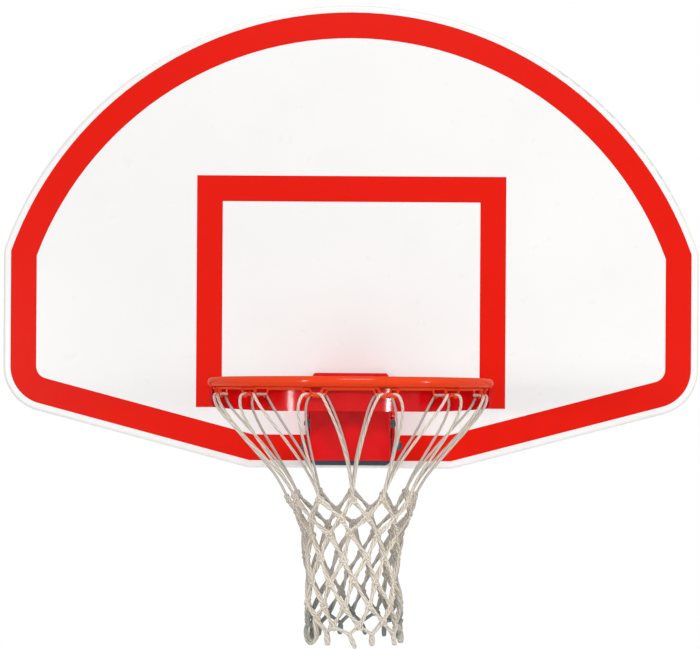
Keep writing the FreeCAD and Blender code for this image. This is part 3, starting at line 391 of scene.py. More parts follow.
def cords(name, routes, radius, sides=6, steps=4, closed=False):
    """Round cords along smooth routes, as one mesh whose UV map runs along and around each cord."""
    curve = bpy.data.curves.new(name, "CURVE")
    curve.dimensions = "3D"
    curve.resolution_u = steps
    curve.bevel_depth = radius
    curve.bevel_resolution = max(0, sides // 2 - 2)
    curve.use_fill_caps = True
    for route in routes:
        spline = curve.splines.new("NURBS")
        spline.points.add(len(route) - 1)
        for point, place in zip(spline.points, route):
            point.co = (*place, 1.0)
        spline.use_cyclic_u = closed
        spline.use_endpoint_u = not closed
        spline.order_u = 3
    holder = bpy.data.objects.new(name, curve)
    mesh = bpy.data.meshes.new_from_object(holder)
    mesh.name = name
    bpy.data.objects.remove(holder)
    bpy.data.curves.remove(curve)
    stretch_uv(mesh, routes)
    mesh.shade_smooth()
    return mesh


def stretch_uv(mesh, routes):
    """Makes the UV map's first coordinate metres along a cord of average length."""
    total = 0.0
    for route in routes:
        total += sum((b - a).length for a, b in zip(route, route[1:]))
    average = total / len(routes)
    for corner in mesh.uv_layers["UVMap"].data:
        corner.uv.x *= average


class NetShape:
    """Where the net's cords run: rows of knots on a leaning funnel, each knot a little out of place.

    Lengths in the tables are in millimetres. Drops are measured down from the ring's middle plane, and each
    drop of the legs and rows has a radius of the funnel and a drift to the right.
    """

    LOOPS = 12
    LEG_DROPS = (21.0, 44.0, 80.0, 128.0, 168.0)
    ROW_DROPS = (194.0, 225.0, 256.0, 295.0, 333.0, 371.0, 405.0, 439.0)
    RADII = (226.0, 221.0, 199.0, 155.0, 121.0, 109.0, 99.0, 83.0, 79.0, 76.0, 80.0, 78.5, 78.0)
    DRIFTS = (0.0, 0.5, 1.0, 1.5, 2.0, 2.5, 6.5, 5.5, 3.5, 3.0, 8.0, 8.5, 11.5)
    THROAT = 80.0 * MM
    TWIST = 0.15
    # A knot sways most up and down and least outwards
    SWAY_RADIUS = 90.0 * MM
    SWAY_DOWN = 1.1
    SWAY_OUT = 0.7
    # Aside, reach and drop of a loop on its hook: in the middle, then along each leg
    HOOK_MIDDLE = (0.0, 226.5, 20.4)
    HOOK_LEG = ((6.5, 226.6, 20.3), (11.5, 231.0, 19.7), (17.5, 235.2, 23.5), (26.0, 227.5, 44.0))
    LEG_TURNS = (0.60, 0.80, 0.94)
    LEG_BOW = 3 * MM
    LEG_SLACK = 4 * MM
    # Distance of a doubled side's cords from its middle, as a share of their radius
    PAIR_GAP = 0.88
    PAIR_STEPS = 4
    KNOT_SIZE = 2.45 * MM
    KNOT_STRETCH = (0.9, 1.05, 1.25)
    KNOT_POINTS = 14
    # Height of a point's eye, how much it varies and the drop to its neck, in millimetres
    EYE_TALL = 14
    EYE_VARIES = 5
    NECK_DROP = 15
    EYE_TURN = 1.3
    EYE_SWING = 0.09
    TIP_PAIR = 1.7 * MM
    OPEN_TIP = 9
    OPEN_PAIR = 1.9 * MM

    def __init__(self, sizes):
        self.chance = random.Random(sizes.seed)
        self.sizes = sizes
        self.part = math.pi / self.LOOPS
        self.rows = []
        for row in range(len(self.ROW_DROPS)):
            self.rows.append([self.knot(row, number) for number in range(self.LOOPS)])

    def spread(self, amount):
        """A random number that is mostly small."""
        return max(-1.6, min(1.6, self.chance.gauss(0, 0.7))) * amount

    def knot(self, row, number):
        """Angle, drop and outward shift of one knot."""
        angle = (number + 0.5 * (row % 2)) * 2 * self.part
        angle += self.TWIST * (row / len(self.ROW_DROPS)) ** 2
        sway = self.sizes.sway
        drop = self.ROW_DROPS[row] * MM + self.spread(sway * self.SWAY_DOWN)
        return angle + self.spread(sway) / self.SWAY_RADIUS, drop, self.spread(sway * self.SWAY_OUT)

    def at_depth(self, drop, values):
        """A value of the funnel at a depth under the ring, from the table of its rows."""
        return numpy.interp(drop / MM, self.LEG_DROPS + self.ROW_DROPS, values) * MM

    def radius(self, drop):
        """Radius of the funnel at a depth under the ring."""
        return self.at_depth(drop, self.RADII)

    def place(self, angle, drop, out=0.0):
        """A point of the funnel in space."""
        reach = self.radius(drop) + out
        aside = self.at_depth(drop, self.DRIFTS)
        return RING + Vector((reach * math.sin(angle) + aside, -reach * math.cos(angle), -drop))

    def at_hook(self, angle, aside, reach, drop):
        """A point beside a double hook, with millimetres along the ring, out from its axis and down."""
        outward = Vector((math.sin(angle), -math.cos(angle), 0.0))
        along = Vector((math.cos(angle), math.sin(angle), 0.0))
        return RING + outward * (reach * MM) + along * (aside * MM) - Vector((0.0, 0.0, drop * MM))

    def loop(self, number):
        """The cord over one double hook, from the knot on its left to the knot on its right."""
        angle = (number + 0.5) * 2 * self.part
        left = self.strand(angle, -1, self.rows[0][number])
        right = self.strand(angle, 1, self.rows[0][(number + 1) % self.LOOPS])
        return left[::-1] + [self.at_hook(angle, *self.HOOK_MIDDLE)] + right

    def strand(self, angle, side, knot):
        """One leg of a loop: out of the hook sideways, then down in a slack bow to its knot."""
        knot_angle = angle + side * self.part + self.offset(knot[0], angle + side * self.part)
        turn = knot_angle - angle
        bow = self.spread(self.LEG_BOW)
        upper, middle, lower = (drop * MM for drop in self.LEG_DROPS[2:])
        early, half_way, late = (angle + turn * share for share in self.LEG_TURNS)
        route = [self.at_hook(angle, side * aside, reach, drop) for aside, reach, drop in self.HOOK_LEG]
        route.append(self.place(early, upper + self.spread(self.LEG_SLACK), bow))
        route.append(self.place(half_way, middle, bow * 0.6))
        route.append(self.place(late, lower, 1 * MM))
        route.append(self.place(knot_angle, knot[1] - 2 * MM, knot[2]))
        return route

    def offset(self, angle, near):
        """How far an angle lies from another, whatever full turns lie between."""
        return (angle - near + math.pi) % (2 * math.pi) - math.pi

    def side_pair(self, upper, lower):
        """The two cords of one side of a mesh, which cross once on their way down."""
        turn = self.offset(lower[0], upper[0])
        gap = self.sizes.mesh_cord_radius * self.PAIR_GAP
        twist = self.chance.choice((-1, 1))
        middle_drop = (upper[1] + lower[1]) / 2
        slope = math.atan2(turn * self.radius(middle_drop), lower[1] - upper[1])
        pair = ([], [])
        for step in range(self.PAIR_STEPS + 1):
            share = step / self.PAIR_STEPS
            angle = upper[0] + turn * share
            drop = upper[1] + (lower[1] - upper[1]) * share
            out = upper[2] + (lower[2] - upper[2]) * share
            across = gap * math.cos(math.pi * share)
            lift = gap * math.sin(math.pi * share) * twist
            for cord, side in zip(pair, (-1, 1)):
                turned = angle + side * across * math.cos(slope) / self.radius(drop)
                lowered = drop - side * across * math.sin(slope)
                cord.append(self.place(turned, lowered, out + side * lift))
        return pair

    def tip(self, number):
        """The cords of the point between two knots of the lowest row, which end in a small eye."""
        first = self.rows[-2][number]
        second = self.rows[-2][(number + 1) % self.LOOPS]
        foot = self.rows[-1][number]
        reach = self.offset(second[0], first[0])
        low = self.offset(foot[0], first[0])
        tall = (self.EYE_TALL + abs(self.spread(self.EYE_VARIES))) * MM
        uneven = foot[1] - self.ROW_DROPS[-1] * MM
        neck = max(first[1], second[1]) + self.NECK_DROP * MM + uneven * 0.6
        bottom = neck + tall + 2 * MM
        belly = neck + tall * 0.6
        facing_turn = self.chance.uniform(-self.EYE_TURN, self.EYE_TURN)
        swing = self.spread(self.EYE_SWING)
        if number == self.OPEN_TIP:
            return self.slack_loop(first, second, foot[1] + 4 * MM, reach)
        # Turn, drop and half width in millimetres of each spot, down one leg, round the eye and up again
        spots = [(0.0, first[1], 0.0), (low * 0.55, (first[1] + neck) / 2, 0.0), (low, neck, 0.4)]
        spots += [(low, belly, 2.3), (low, bottom, 1.2), (low, bottom, -1.2), (low, belly, -2.3)]
        spots += [(low, neck, -0.4), ((low + reach) / 2, (second[1] + neck) / 2, 0.0)]
        spots += [(reach, second[1], 0.0)]
        pair = []
        for out in (-self.TIP_PAIR, self.TIP_PAIR):
            route = []
            for turn, drop, wide in spots:
                hang = max(0.0, drop - neck) / tall
                aside = wide * MM
                turned = first[0] + turn + swing * hang + aside * math.cos(facing_turn) / self.THROAT
                route.append(self.place(turned, drop, foot[2] + out + aside * math.sin(facing_turn)))
            pair.append(route)
        return pair

    def slack_loop(self, first, second, bottom, reach):
        """A point whose cords hang open in a long loop from knot to knot."""
        middle = (first[1] + bottom) / 2
        # Turn, drop and outward shift in millimetres of each spot
        spots = [(0.0, first[1], 0.0), (-0.03, middle - 8 * MM, 5.0), (0.0, middle + 4 * MM, 6.5)]
        spots += [(reach * 0.25, bottom, 4.0), (reach * 0.6, bottom, 0.0)]
        spots += [(reach * 0.92, middle + 6 * MM, -2.5), (reach * 0.98, middle - 6 * MM, -1.5)]
        spots += [(reach, second[1], 0.0)]
        pair = []
        for shift in (-self.OPEN_PAIR, self.OPEN_PAIR):
            route = []
            for turn, drop, out in spots:
                route.append(self.place(first[0] + turn, drop + shift, out * MM + shift))
            pair.append(route)
        return pair

    def tied(self, knot):
        """A small pulled-tight knot: one closed cord that passes three times through itself."""
        angle, drop, out = knot
        centre = self.place(angle, drop, out)
        across = Vector((math.cos(angle), math.sin(angle), 0.0))
        down = (self.place(angle, drop + MM, out) - self.place(angle, drop - MM, out)).normalized()
        outward = down.cross(across)
        start = self.chance.uniform(0, 2 * math.pi)
        wide, tall, deep = self.KNOT_STRETCH
        route = []
        for step in range(self.KNOT_POINTS):
            turn = start + step * 2 * math.pi / self.KNOT_POINTS
            x = math.sin(turn) + 2 * math.sin(2 * turn)
            y = math.cos(turn) - 2 * math.cos(2 * turn)
            z = -math.sin(3 * turn)
            spot = across * (x * wide) + down * (y * tall) + outward * (z * deep)
            route.append(centre + spot * self.KNOT_SIZE)
        return route


class HexFastener:
    """A bolt or nut on an axis: +Z of its own space points out of the head."""

    NEAR = 1e-6
    ROUND = 28
    FACE_WIDTH = 0.47
    # Radii of a thread's end, first turn, roots and crests, as shares of the shank's radius
    THREAD_END = 0.72
    THREAD_START = 0.98
    THREAD_ROOT = 0.86
    THREAD_CREST = 0.99

    def __init__(self):
        self.mesh = bmesh.new()

    def prism(self, radius, low, high, segments, turn=0.0):
        """A new upright prism with many or few sides, not yet part of the fastener."""
        part = bmesh.new()
        lift = Matrix.Translation((0, 0, (low + high) / 2)) @ Matrix.Rotation(turn, 4, "Z")
        bmesh.ops.create_cone(
            part,
            cap_ends=True,
            segments=segments,
            radius1=radius,
            radius2=radius,
            depth=high - low,
            matrix=lift,
        )
        return part

    def hexagon(self, flats, low, high, chamfer):
        """A hexagon with its upper corners turned off."""
        part = self.prism(flats / math.sqrt(3), low, high, 6, math.pi / 6)
        rim = [edge for edge in part.edges if all(abs(v.co.z - high) < self.NEAR for v in edge.verts)]
        bmesh.ops.bevel(
            part, geom=rim, offset=chamfer, segments=3, profile=0.5, affect="EDGES", material=-1
        )
        self.add(part)

    def disc(self, radius, low, high):
        """A plain turned disc, such as a washer face."""
        self.add(self.prism(radius, low, high, self.ROUND))

    def faced_hexagon(self, flats, height, face, chamfer):
        """A hexagon on a washer face, whose height and chamfer are shares of the whole height."""
        self.disc(flats * self.FACE_WIDTH, 0.0, height * face)
        self.hexagon(flats, height * face, height, height * chamfer)

    def shank(self, radius, low, high, thread_top, pitch):
        """A turned shank whose lower end carries thread crests and a chamfer."""
        part = bmesh.new()
        root = radius * self.THREAD_ROOT
        crest = radius * self.THREAD_CREST
        profile = [(0.0, low), (radius * self.THREAD_END, low), (radius * self.THREAD_START, low + pitch)]
        turns = int((thread_top - low - pitch) / pitch)
        for turn in range(turns):
            base = low + pitch * (1 + turn)
            profile += [(root, base + pitch * 0.5), (crest, base + pitch)]
        profile += [(crest, high), (0.0, high)]
        verts = [part.verts.new((reach, 0.0, z)) for reach, z in profile]
        edges = [part.edges.new(pair) for pair in zip(verts, verts[1:])]
        bmesh.ops.spin(
            part,
            geom=verts + edges,
            cent=(0, 0, 0),
            axis=(0, 0, 1),
            angle=2 * math.pi,
            steps=20,
            use_merge=True,
        )
        bmesh.ops.remove_doubles(part, verts=part.verts[:], dist=self.NEAR)
        bmesh.ops.recalc_face_normals(part, faces=part.faces[:])
        self.add(part)

    def add(self, part):
        """Moves one shape into the fastener."""
        shape = bpy.data.meshes.new("shape")
        part.to_mesh(shape)
        part.free()
        self.mesh.from_mesh(shape)
        bpy.data.meshes.remove(shape)


def stamped(name, placed):
    """One mesh from many fasteners, each with the matrix that puts it in its place."""
    whole = bmesh.new()
    for fastener, matrix in placed:
        copy = bpy.data.meshes.new("copy")
        fastener.mesh.to_mesh(copy)
        copy.transform(matrix)
        whole.from_mesh(copy)
        bpy.data.meshes.remove(copy)
    mesh = bpy.data.meshes.new(name)
    whole.to_mesh(mesh)
    whole.free()
    mesh.set_sharp_from_angle(angle=math.radians(32))
    return mesh


def facing(place, direction):
    """The matrix that puts a fastener at a place with its head towards a direction."""
    return Matrix.Translation(place) @ Vector(direction).to_track_quat("Z", "Y").to_matrix().to_4x4()


BoltKind = namedtuple("BoltKind", "flats head radius")
M10 = BoltKind(flats=16 * MM, head=6.4 * MM, radius=5 * MM)
M12 = BoltKind(flats=18 * MM, head=7.5 * MM, radius=6 * MM)


def bolt(kind, span, threaded, pitch):
    """A hexagon bolt whose seat is at its origin."""
    made = HexFastener()
    made.faced_hexagon(kind.flats, kind.head, face=0.08, chamfer=0.2)
    made.shank(kind.radius, -span, 0.0, threaded - span, pitch)
    return made


def nut(flats, height):
    """A hexagon nut whose seat is at its origin."""
    made = HexFastener()
    made.faced_hexagon(flats, height, face=0.06, chamfer=0.16)
    return made


class BACKBOARD_OT_paint_board(bpy.types.Operator):
    """Paints the pan, its stiffeners and its stripes"""

    bl_idname = "backboard.paint_board"
    bl_label = "Paint the board"

    def execute(self, context):
        shades = context.scene.backboard_colours
        steelwork = ["left_stiffener", "right_stiffener", "upper_crossbar", "goal_channel"]
        dress(["face_panel"] + steelwork, board_paint(shades))
        dress(["border_stripe", "target_stripe"], stripe_paint(shades))
        return {"FINISHED"}


class BACKBOARD_OT_paint_goal(bpy.types.Operator):
    """Paints the bracket, the carrier and the ring"""

    bl_idname = "backboard.paint_goal"
    bl_label = "Paint the goal"

    def execute(self, context):
        shades = context.scene.backboard_colours
        carrier = ["carrier_plate", "arm_plate", "left_cheek", "right_cheek", "front_cover"]
        dress(["hinge_bracket"] + carrier, bracket_paint(shades))
        dress(["ring_strap"], strap_paint(shades))
        dress(["ring", "net_wire"], ring_paint(shades))
        return {"FINISHED"}


class BACKBOARD_OT_plate_metal(bpy.types.Operator):
    """Finishes the plated and bare steel pieces"""

    bl_idname = "backboard.plate_metal"
    bl_label = "Plate the metal"

    def execute(self, context):
        shades = context.scene.backboard_colours
        zinc = plated("zinc_finish", shades.zinc, dull=0.30, mottle=140.0)
        bearing = plated("bearing_finish", shades.zinc, dull=0.22, mottle=60.0)
        dress(["back_plate"], plate_finish(shades))
        dress(["goal_washers", "hinge_washers", "weld_nuts", "spring_washer"], zinc)
        dress(["hinge_sleeve", "thrust_washers", "spring_seat"], bearing)
        return {"FINISHED"}


class BACKBOARD_OT_add_fasteners(bpy.types.Operator):
    """Adds bolts and nuts with chamfered hexagons and threaded ends"""

    bl_idname = "backboard.add_fasteners"
    bl_label = "Add the fasteners"

    GOAL_BOLT_ASIDE = 50.8 * MM
    GOAL_THREAD = 26 * MM
    HINGE_THREAD = 24 * MM
    COVER_THREAD = 14 * MM
    COVER_NUT = 9 * MM
    STUD_RADIUS = 7 * MM
    STUD_THREAD = 40 * MM
    STUD_NUT_FLATS = 21 * MM

    def execute(self, context):
        self.pitch = context.scene.backboard_sizes.thread_pitch
        self.zinc = plated("bolt_finish", context.scene.backboard_colours.zinc, dull=0.28, mottle=160.0)
        self.add_goal_bolts()
        self.add_hinge_bolt()
        self.add_cover_bolts()
        self.add_spring_stud()
        return {"FINISHED"}

    def add(self, name, placed, body, nodes):
        """Puts one set of fasteners into the scene in place of its CAD nodes."""
        finished_piece(name, stamped(name, placed), self.zinc, body, nodes)

    def add_goal_bolts(self):
        """The four bolts that clamp the goal to the board."""
        front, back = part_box("goal_bolts")
        nuts_front, nuts_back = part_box("goal_nuts")
        seat = front.y + M10.head
        corner = M10.flats / 2 / math.cos(math.pi / 6)
        body = bolt(M10, back.y - seat, self.GOAL_THREAD, self.pitch)
        lock = nut(M10.flats, nuts_back.y - nuts_front.y)
        placed = []
        for x in (-self.GOAL_BOLT_ASIDE, self.GOAL_BOLT_ASIDE):
            for z in (front.z + corner, back.z - corner):
                placed.append((body, facing((x, seat, z), (0, -1, 0))))
                placed.append((lock, facing((x, nuts_front.y, z), (0, 1, 0))))
        self.add("goal_bolt_set", placed, "board", ["goal_bolts", "goal_nuts"])

    def add_hinge_bolt(self):
        """The long bolt through the ears, with its lock nut."""
        low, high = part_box("hinge_bolt")
        nut_low, nut_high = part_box("hinge_nut")
        axis = middle_of("hinge_nut")
        seat = low.x + M12.head
        body = bolt(M12, high.x - seat, self.HINGE_THREAD, self.pitch)
        lock = nut(M12.flats, nut_high.x - nut_low.x)
        placed = [(body, facing((seat, axis.y, axis.z), (-1, 0, 0)))]
        placed.append((lock, facing((nut_low.x, axis.y, axis.z), (1, 0, 0))))
        self.add("hinge_bolt_set", placed, "board", ["hinge_bolt", "hinge_nut"])

    def add_cover_bolts(self):
        """The bolt on each side that holds the cover."""
        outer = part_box("cover_bolts")[1].x
        nut_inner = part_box("cover_nuts")[1].x - self.COVER_NUT
        axis = middle_of("cover_bolts")
        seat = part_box("right_cheek")[0].x
        body = bolt(M10, outer - seat, self.COVER_THREAD, self.pitch)
        lock = nut(M10.flats, self.COVER_NUT)
        placed = []
        for side in (-1, 1):
            placed.append((body, facing((side * seat, axis.y, axis.z), (-side, 0, 0))))
            placed.append((lock, facing((side * nut_inner, axis.y, axis.z), (side, 0, 0))))
        self.add("cover_bolt_set", placed, "rim", ["cover_bolts", "cover_nuts"])

    def add_spring_stud(self):
        """The stud inside the spring, with the nut that sets its load."""
        low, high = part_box("spring_stud")
        nut_low, nut_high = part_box("spring_nut")
        axis = middle_of("spring_stud")
        rod = HexFastener()
        rod.shank(self.STUD_RADIUS, 0.0, high.y - low.y, self.STUD_THREAD, self.pitch)
        lock = nut(self.STUD_NUT_FLATS, nut_high.y - nut_low.y)
        placed = [(rod, facing((axis.x, low.y, axis.z), (0, 1, 0)))]
        placed.append((lock, facing((axis.x, nut_high.y, axis.z), (0, -1, 0))))
        self.add("spring_stud_set", placed, "board", ["spring_stud", "spring_nut"])


class BACKBOARD_OT_wind_spring(bpy.types.Operator):
    """Winds the spring that shortens when the ring is pulled down"""

    bl_idname = "backboard.wind_spring"
    bl_label = "Wind the spring"

    TURNS = 3.5
    END_TURNS = 1.0
    POINTS_PER_TURN = 14
    WIRE_RADIUS = 2.9 * MM
    END_INSET = 3 * MM
    CLOSE_PITCH = 6.6 * MM
    # A smooth route cuts its corners a little, so its points lie further out
    OUTSET = 1.016

    def execute(self, context):
        low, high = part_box("spring")
        centre = (low + high) / 2
        radius = ((high.x - low.x) / 2 - self.END_INSET) * self.OUTSET
        span = high.y - low.y - 2 * self.END_INSET
        total = self.TURNS + 2 * self.END_TURNS
        open_pitch = (span - 2 * self.CLOSE_PITCH * self.END_TURNS) / self.TURNS
        route = []
        for step in range(int(total * self.POINTS_PER_TURN) + 1):
            turn = step / self.POINTS_PER_TURN
            along = high.y - self.END_INSET - self.travel(turn, total, open_pitch)
            angle = turn * 2 * math.pi
            around = Vector((math.cos(angle), 0, math.sin(angle))) * radius
            route.append(Vector((centre.x, along, centre.z)) + around)
        mesh = cords("coil_spring", [route], self.WIRE_RADIUS, sides=12, steps=3)
        steel = spring_finish(context.scene.backboard_colours)
        piece = finished_piece("coil_spring", mesh, steel, None, ["spring"])
        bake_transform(piece)
        return {"FINISHED"}

    def travel(self, turn, total, open_pitch):
        """Distance along the axis after some turns: close end turns, open ones between."""
        first = min(turn, self.END_TURNS) * self.CLOSE_PITCH
        middle = max(0.0, min(turn, total - self.END_TURNS) - self.END_TURNS) * open_pitch
        last = max(0.0, turn - total + self.END_TURNS) * self.CLOSE_PITCH
        return first + middle + last


class BACKBOARD_OT_add_welds(bpy.types.Operator):
    """Adds the weld beads on the goal and behind the board"""

    bl_idname = "backboard.add_welds"
    bl_label = "Add the welds"

    WAVE = 0.35 * MM
    WAVE_STEP = 5 * MM
    PLATE_INSET = 6 * MM
    CORNER_OUT = 1 * MM
    CHEEK_INSET = 7.5 * MM
    CHEEK_DROP = 1.2 * MM
    CHEEK_REAR_GAP = 6 * MM
    CHEEK_FRONT_GAP = 16 * MM
    ARM_RADIUS = 244 * MM
    ARM_BEAD = (244.6 * MM, -3.2 * MM)
    STRAP_BEAD = (243.0 * MM, -8.6 * MM)
    STRAP_ANGLES = ((24, 44), (56, 76))
    STIFFENER_STITCHES = 6
    BAR_STITCHES = 3
    STITCH_LENGTH = 45 * MM
    STITCH_OUT = 0.6 * MM
    SHEET_EDGE = 1.6 * MM
    # Where a stitch starts in its share of an upright and of a level bar
    UPRIGHT_START = 0.35
    LEVEL_START = 0.3

    def execute(self, context):
        shades = context.scene.backboard_colours
        bead = context.scene.backboard_sizes.bead_radius
        red = sprayed("weld_red", shades.bracket, gloss=0.26, peel=0.30, soil=0.2, soil_shade=GRIMY_RED)
        white = sprayed("weld_white", shades.board, gloss=0.30, peel=0.30, soil=0.1, soil_shade=WELD_DUST)
        mesh = cords("goal_welds", self.goal_routes(), bead, sides=8, steps=6)
        finished_piece("goal_welds", mesh, red, "rim")
        mesh = cords("board_welds", self.board_routes(), bead, sides=8, steps=6)
        finished_piece("board_welds", mesh, white, "board")
        return {"FINISHED"}

    def ripple(self, start, end, out):
        """A short bead between two points that leans out from its corner a little, in shallow waves."""
        steps = max(4, int((end - start).length / self.WAVE_STEP))
        route = []
        for step in range(steps + 1):
            route.append(start.lerp(end, step / steps) + out * (self.WAVE * (step % 2)))
        return route

    def arc(self, bead, start, end, steps):
        """A bead round the ring's axis between two angles from the rear, at a radius and a level."""
        radius, level = bead
        route = []
        for step in range(steps + 1):
            angle = start + (end - start) * step / steps
            reach = radius + self.WAVE * (step % 2)
            route.append(RING + Vector((reach * math.sin(angle), reach * math.cos(angle), level)))
        return route

    def goal_routes(self):
        """Beads between ring, arm, strap, cheeks and carrier."""
        low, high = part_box("arm_plate")
        carrier_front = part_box("carrier_plate")[0].y
        inset = high.x - self.PLATE_INSET
        wide = math.asin(inset / self.ARM_RADIUS)
        routes = [self.arc(self.ARM_BEAD, -wide, wide, 24)]
        under = low.z - self.CHEEK_DROP
        for side in (-1, 1):
            for first, last in self.STRAP_ANGLES:
                ends = (side * math.radians(first), side * math.radians(last))
                routes.append(self.arc(self.STRAP_BEAD, *ends, 20))
            x = side * (high.x - self.CHEEK_INSET)
            rear = Vector((x, carrier_front - self.CHEEK_REAR_GAP, under))
            front = Vector((x, low.y + self.CHEEK_FRONT_GAP, under))
            routes.append(self.ripple(rear, front, Vector((-side, 0, 0))))
        left = Vector((-inset, carrier_front - self.CORNER_OUT, high.z + self.CORNER_OUT))
        right = Vector((inset, carrier_front - self.CORNER_OUT, high.z + self.CORNER_OUT))
        routes.append(self.ripple(left, right, Vector((0, 0, 1))))
        return routes

    def board_routes(self):
        """Stitch beads along the stiffeners, the crossbar and the channel behind the face."""
        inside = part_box("left_stiffener")[0].y + self.SHEET_EDGE
        upright = Vector((0, 0, self.STITCH_LENGTH))
        level = Vector((self.STITCH_LENGTH, 0, 0))
        routes = []
        for node in ("left_stiffener", "right_stiffener"):
            low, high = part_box(node)
            for x, out in ((low.x, Vector((-1, 0, 0))), (high.x, Vector((1, 0, 0)))):
                for stitch in range(self.STIFFENER_STITCHES):
                    z = low.z + (high.z - low.z) * (stitch + self.UPRIGHT_START) / self.STIFFENER_STITCHES
                    start = Vector((x, inside, z)) + out * self.STITCH_OUT
                    routes.append(self.ripple(start, start + upright, out))
        for node in ("upper_crossbar", "goal_channel"):
            low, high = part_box(node)
            for z, out in ((low.z, Vector((0, 0, -1))), (high.z, Vector((0, 0, 1)))):
                for stitch in range(self.BAR_STITCHES):
                    x = low.x + (high.x - low.x) * (stitch + self.LEVEL_START) / self.BAR_STITCHES
                    start = Vector((x, inside, z)) + out * self.STITCH_OUT
                    routes.append(self.ripple(start, start + level, out))
        return routes


class BACKBOARD_OT_knot_net(bpy.types.Operator):
    """Knots the net from cords: loops on the hooks, doubled sides, knots and open points"""

    bl_idname = "backboard.knot_net"
    bl_label = "Knot the net"

    # The points' cords are a little thicker than those of the sides
    POINT_SHARE = 1.08

    def execute(self, context):
        sizes = context.scene.backboard_sizes
        cord = cord_finish(context.scene.backboard_colours, sizes)
        net = NetShape(sizes)
        loops = [net.loop(number) for number in range(net.LOOPS)]
        sides = self.sides(net)
        points = [route for number in range(net.LOOPS) for route in net.tip(number)]
        ties = [net.tied(knot) for row in net.rows[:-1] for knot in row]
        doubled = sizes.mesh_cord_radius
        self.add(cords("net_loops", loops, sizes.cord_radius, sides=8, steps=6), cord)
        self.add(cords("net_sides", sides, doubled, sides=6, steps=4), cord)
        self.add(cords("net_points", points, doubled * self.POINT_SHARE, sides=8, steps=5), cord)
        self.add(cords("net_knots", ties, doubled, sides=6, steps=2, closed=True), cord)
        return {"FINISHED"}

    def sides(self, net):
        """Cords of all the sides between one row of knots and the next."""
        routes = []
        for row in range(len(net.rows) - 2):
            for number in range(net.LOOPS):
                upper = net.rows[row][number]
                for ahead in (0, -1):
                    below = (number + row % 2 + ahead) % net.LOOPS
                    routes += net.side_pair(upper, net.rows[row + 1][below])
        return routes

    def add(self, mesh, cord):
        """Hangs one kind of cord on the ring's body."""
        finished_piece(mesh.name, mesh, cord, "rim", ["net"])


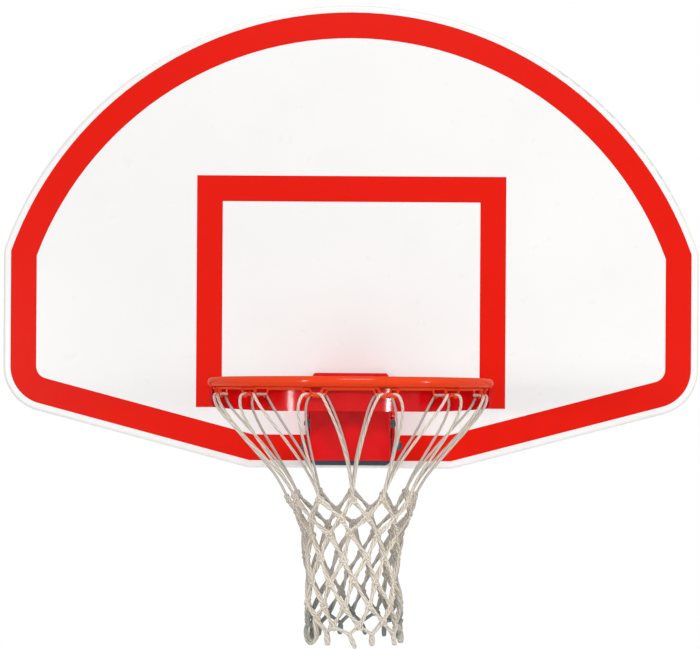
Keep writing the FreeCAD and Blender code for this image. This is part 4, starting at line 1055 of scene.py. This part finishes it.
class BACKBOARD_OT_set_stage(bpy.types.Operator):
    """Sets the pale floor, the soft lights and the camera"""

    bl_idname = "backboard.set_stage"
    bl_label = "Set the stage"

    # Distances in metres, picture measures in pixels, roll in degrees
    CAMERA_GAP = 2.953
    CAMERA_DROP = 0.025
    IMAGE_WIDTH = 700
    FOCAL_PIXELS = 1497.5
    HORIZON_SHIFT = 72.8
    SIDE_SHIFT = -0.5
    ROLL = -0.35
    SENSOR_WIDTH = 36.0
    FLOOR_MIDDLE = (0, -0.35, -1.05)
    FLOOR_HALF = 1.15
    FLOOR_SHADE = (0.92, 0.92, 0.92, 1.0)
    SOFT_STRENGTH = 0.38
    AIM = (0.0, -0.1, -0.1)
    # Place, width and height, and power in watts of each light
    LIGHTS = {
        "left_soft_light": ((-1.50, -2.58, -0.27), (0.14, 0.26), 15.0),
        "right_soft_light": ((1.50, -1.40, -0.27), (0.14, 0.26), 6.6),
        "front_soft_light": ((0.3, -3.4, 2.7), (1.6, 1.2), 86.0),
        "rear_soft_light": ((-1.1, 2.7, 2.1), (1.4, 1.0), 70.0),
    }

    def execute(self, context):
        self.add_floor(context)
        self.add_world(context)
        for name, (place, size, power) in self.LIGHTS.items():
            self.add_light(context, name, place, size, power)
        self.add_camera(context)
        context.scene.view_settings.view_transform = "Standard"
        return {"FINISHED"}

    def add_floor(self, context):
        """A wide pale floor under the hanging board."""
        mesh = bpy.data.meshes.new("floor")
        plane = bmesh.new()
        lift = Matrix.Translation(self.FLOOR_MIDDLE)
        bmesh.ops.create_grid(plane, x_segments=1, y_segments=1, size=self.FLOOR_HALF, matrix=lift)
        plane.to_mesh(mesh)
        plane.free()
        finish = Finish("floor_finish", Roughness=0.9, Base_Color=self.FLOOR_SHADE)
        mesh.materials.append(finish.material)
        floor = bpy.data.objects.new("floor", mesh)
        context.scene.collection.objects.link(floor)

    def add_world(self, context):
        """White behind the object and in reflections, and softer light from all round."""
        world = bpy.data.worlds.new("studio")
        context.scene.world = world
        world.use_nodes = True
        world.node_tree.nodes.clear()
        sky = Nodes(world.node_tree)
        seen = sky.node("ShaderNodeLightPath", output="Is Camera Ray")
        for ray in ("Is Glossy Ray", "Is Transmission Ray"):
            seen = seen.larger(sky.node("ShaderNodeLightPath", output=ray))
        soft = sky.node("ShaderNodeBackground", {}, {"Color": WHITE, "Strength": self.SOFT_STRENGTH})
        white = sky.node("ShaderNodeBackground", {}, {"Color": WHITE, "Strength": 1.0})
        either = sky.node("ShaderNodeMixShader", {}, {0: seen, 1: soft, 2: white})
        sky.node("ShaderNodeOutputWorld", {}, {"Surface": either})

    def add_light(self, context, name, place, size, power):
        """A soft box aimed at the goal."""
        data = bpy.data.lights.new(name, "AREA")
        data.shape = "RECTANGLE"
        data.size = size[0]
        data.size_y = size[1]
        data.energy = power
        lamp = bpy.data.objects.new(name, data)
        context.scene.collection.objects.link(lamp)
        lamp.location = place
        aim = Vector(self.AIM) - Vector(place)
        lamp.rotation_euler = aim.to_track_quat("-Z", "Y").to_euler()

    def add_camera(self, context):
        """The camera where the photographer stood, square to the board and almost level."""
        data = bpy.data.cameras.new("camera")
        data.sensor_fit = "HORIZONTAL"
        data.sensor_width = self.SENSOR_WIDTH
        data.lens = self.FOCAL_PIXELS / self.IMAGE_WIDTH * self.SENSOR_WIDTH
        data.shift_y = self.HORIZON_SHIFT / self.IMAGE_WIDTH
        data.shift_x = self.SIDE_SHIFT / self.IMAGE_WIDTH
        camera = bpy.data.objects.new("camera", data)
        context.scene.collection.objects.link(camera)
        camera.location = (0.0, FACE_Y - self.CAMERA_GAP, RING.z - self.CAMERA_DROP)
        camera.rotation_euler = (math.pi / 2, math.radians(self.ROLL), 0.0)
        context.scene.camera = camera


class BACKBOARD_PT_tools(bpy.types.Panel):
    """Lists the steps and the values that they use"""

    bl_label = "Backboard"
    bl_idname = "BACKBOARD_PT_tools"
    bl_space_type = "VIEW_3D"
    bl_region_type = "UI"
    bl_category = "Backboard"

    def draw(self, context):
        column = self.layout.column()
        for step in STEPS:
            column.operator(step.bl_idname)
        for group in (context.scene.backboard_colours, context.scene.backboard_sizes):
            for name in group.bl_rna.properties.keys():
                if name not in ("rna_type", "name"):
                    column.prop(group, name)


STEPS = (
    BACKBOARD_OT_paint_board,
    BACKBOARD_OT_paint_goal,
    BACKBOARD_OT_plate_metal,
    BACKBOARD_OT_add_fasteners,
    BACKBOARD_OT_wind_spring,
    BACKBOARD_OT_add_welds,
    BACKBOARD_OT_knot_net,
    BACKBOARD_OT_set_stage,
)
CLASSES = (BackboardColours, BackboardSizes) + STEPS + (BACKBOARD_PT_tools,)


def register():
    """Registers the add-on's classes and hangs its values on the scene."""
    for kind in CLASSES:
        bpy.utils.register_class(kind)
    bpy.types.Scene.backboard_colours = PointerProperty(type=BackboardColours)
    bpy.types.Scene.backboard_sizes = PointerProperty(type=BackboardSizes)


def unregister():
    """Takes the values and the classes away again."""
    del bpy.types.Scene.backboard_sizes
    del bpy.types.Scene.backboard_colours
    for kind in reversed(CLASSES):
        bpy.utils.unregister_class(kind)


def main():
    """Dresses the part step by step."""
    register()
    bpy.ops.backboard.paint_board()
    bpy.ops.backboard.paint_goal()
    bpy.ops.backboard.plate_metal()
    bpy.ops.backboard.add_fasteners()
    bpy.ops.backboard.wind_spring()
    bpy.ops.backboard.add_welds()
    bpy.ops.backboard.knot_net()
    bpy.ops.backboard.set_stage()


if __name__ == "__main__":
    main()
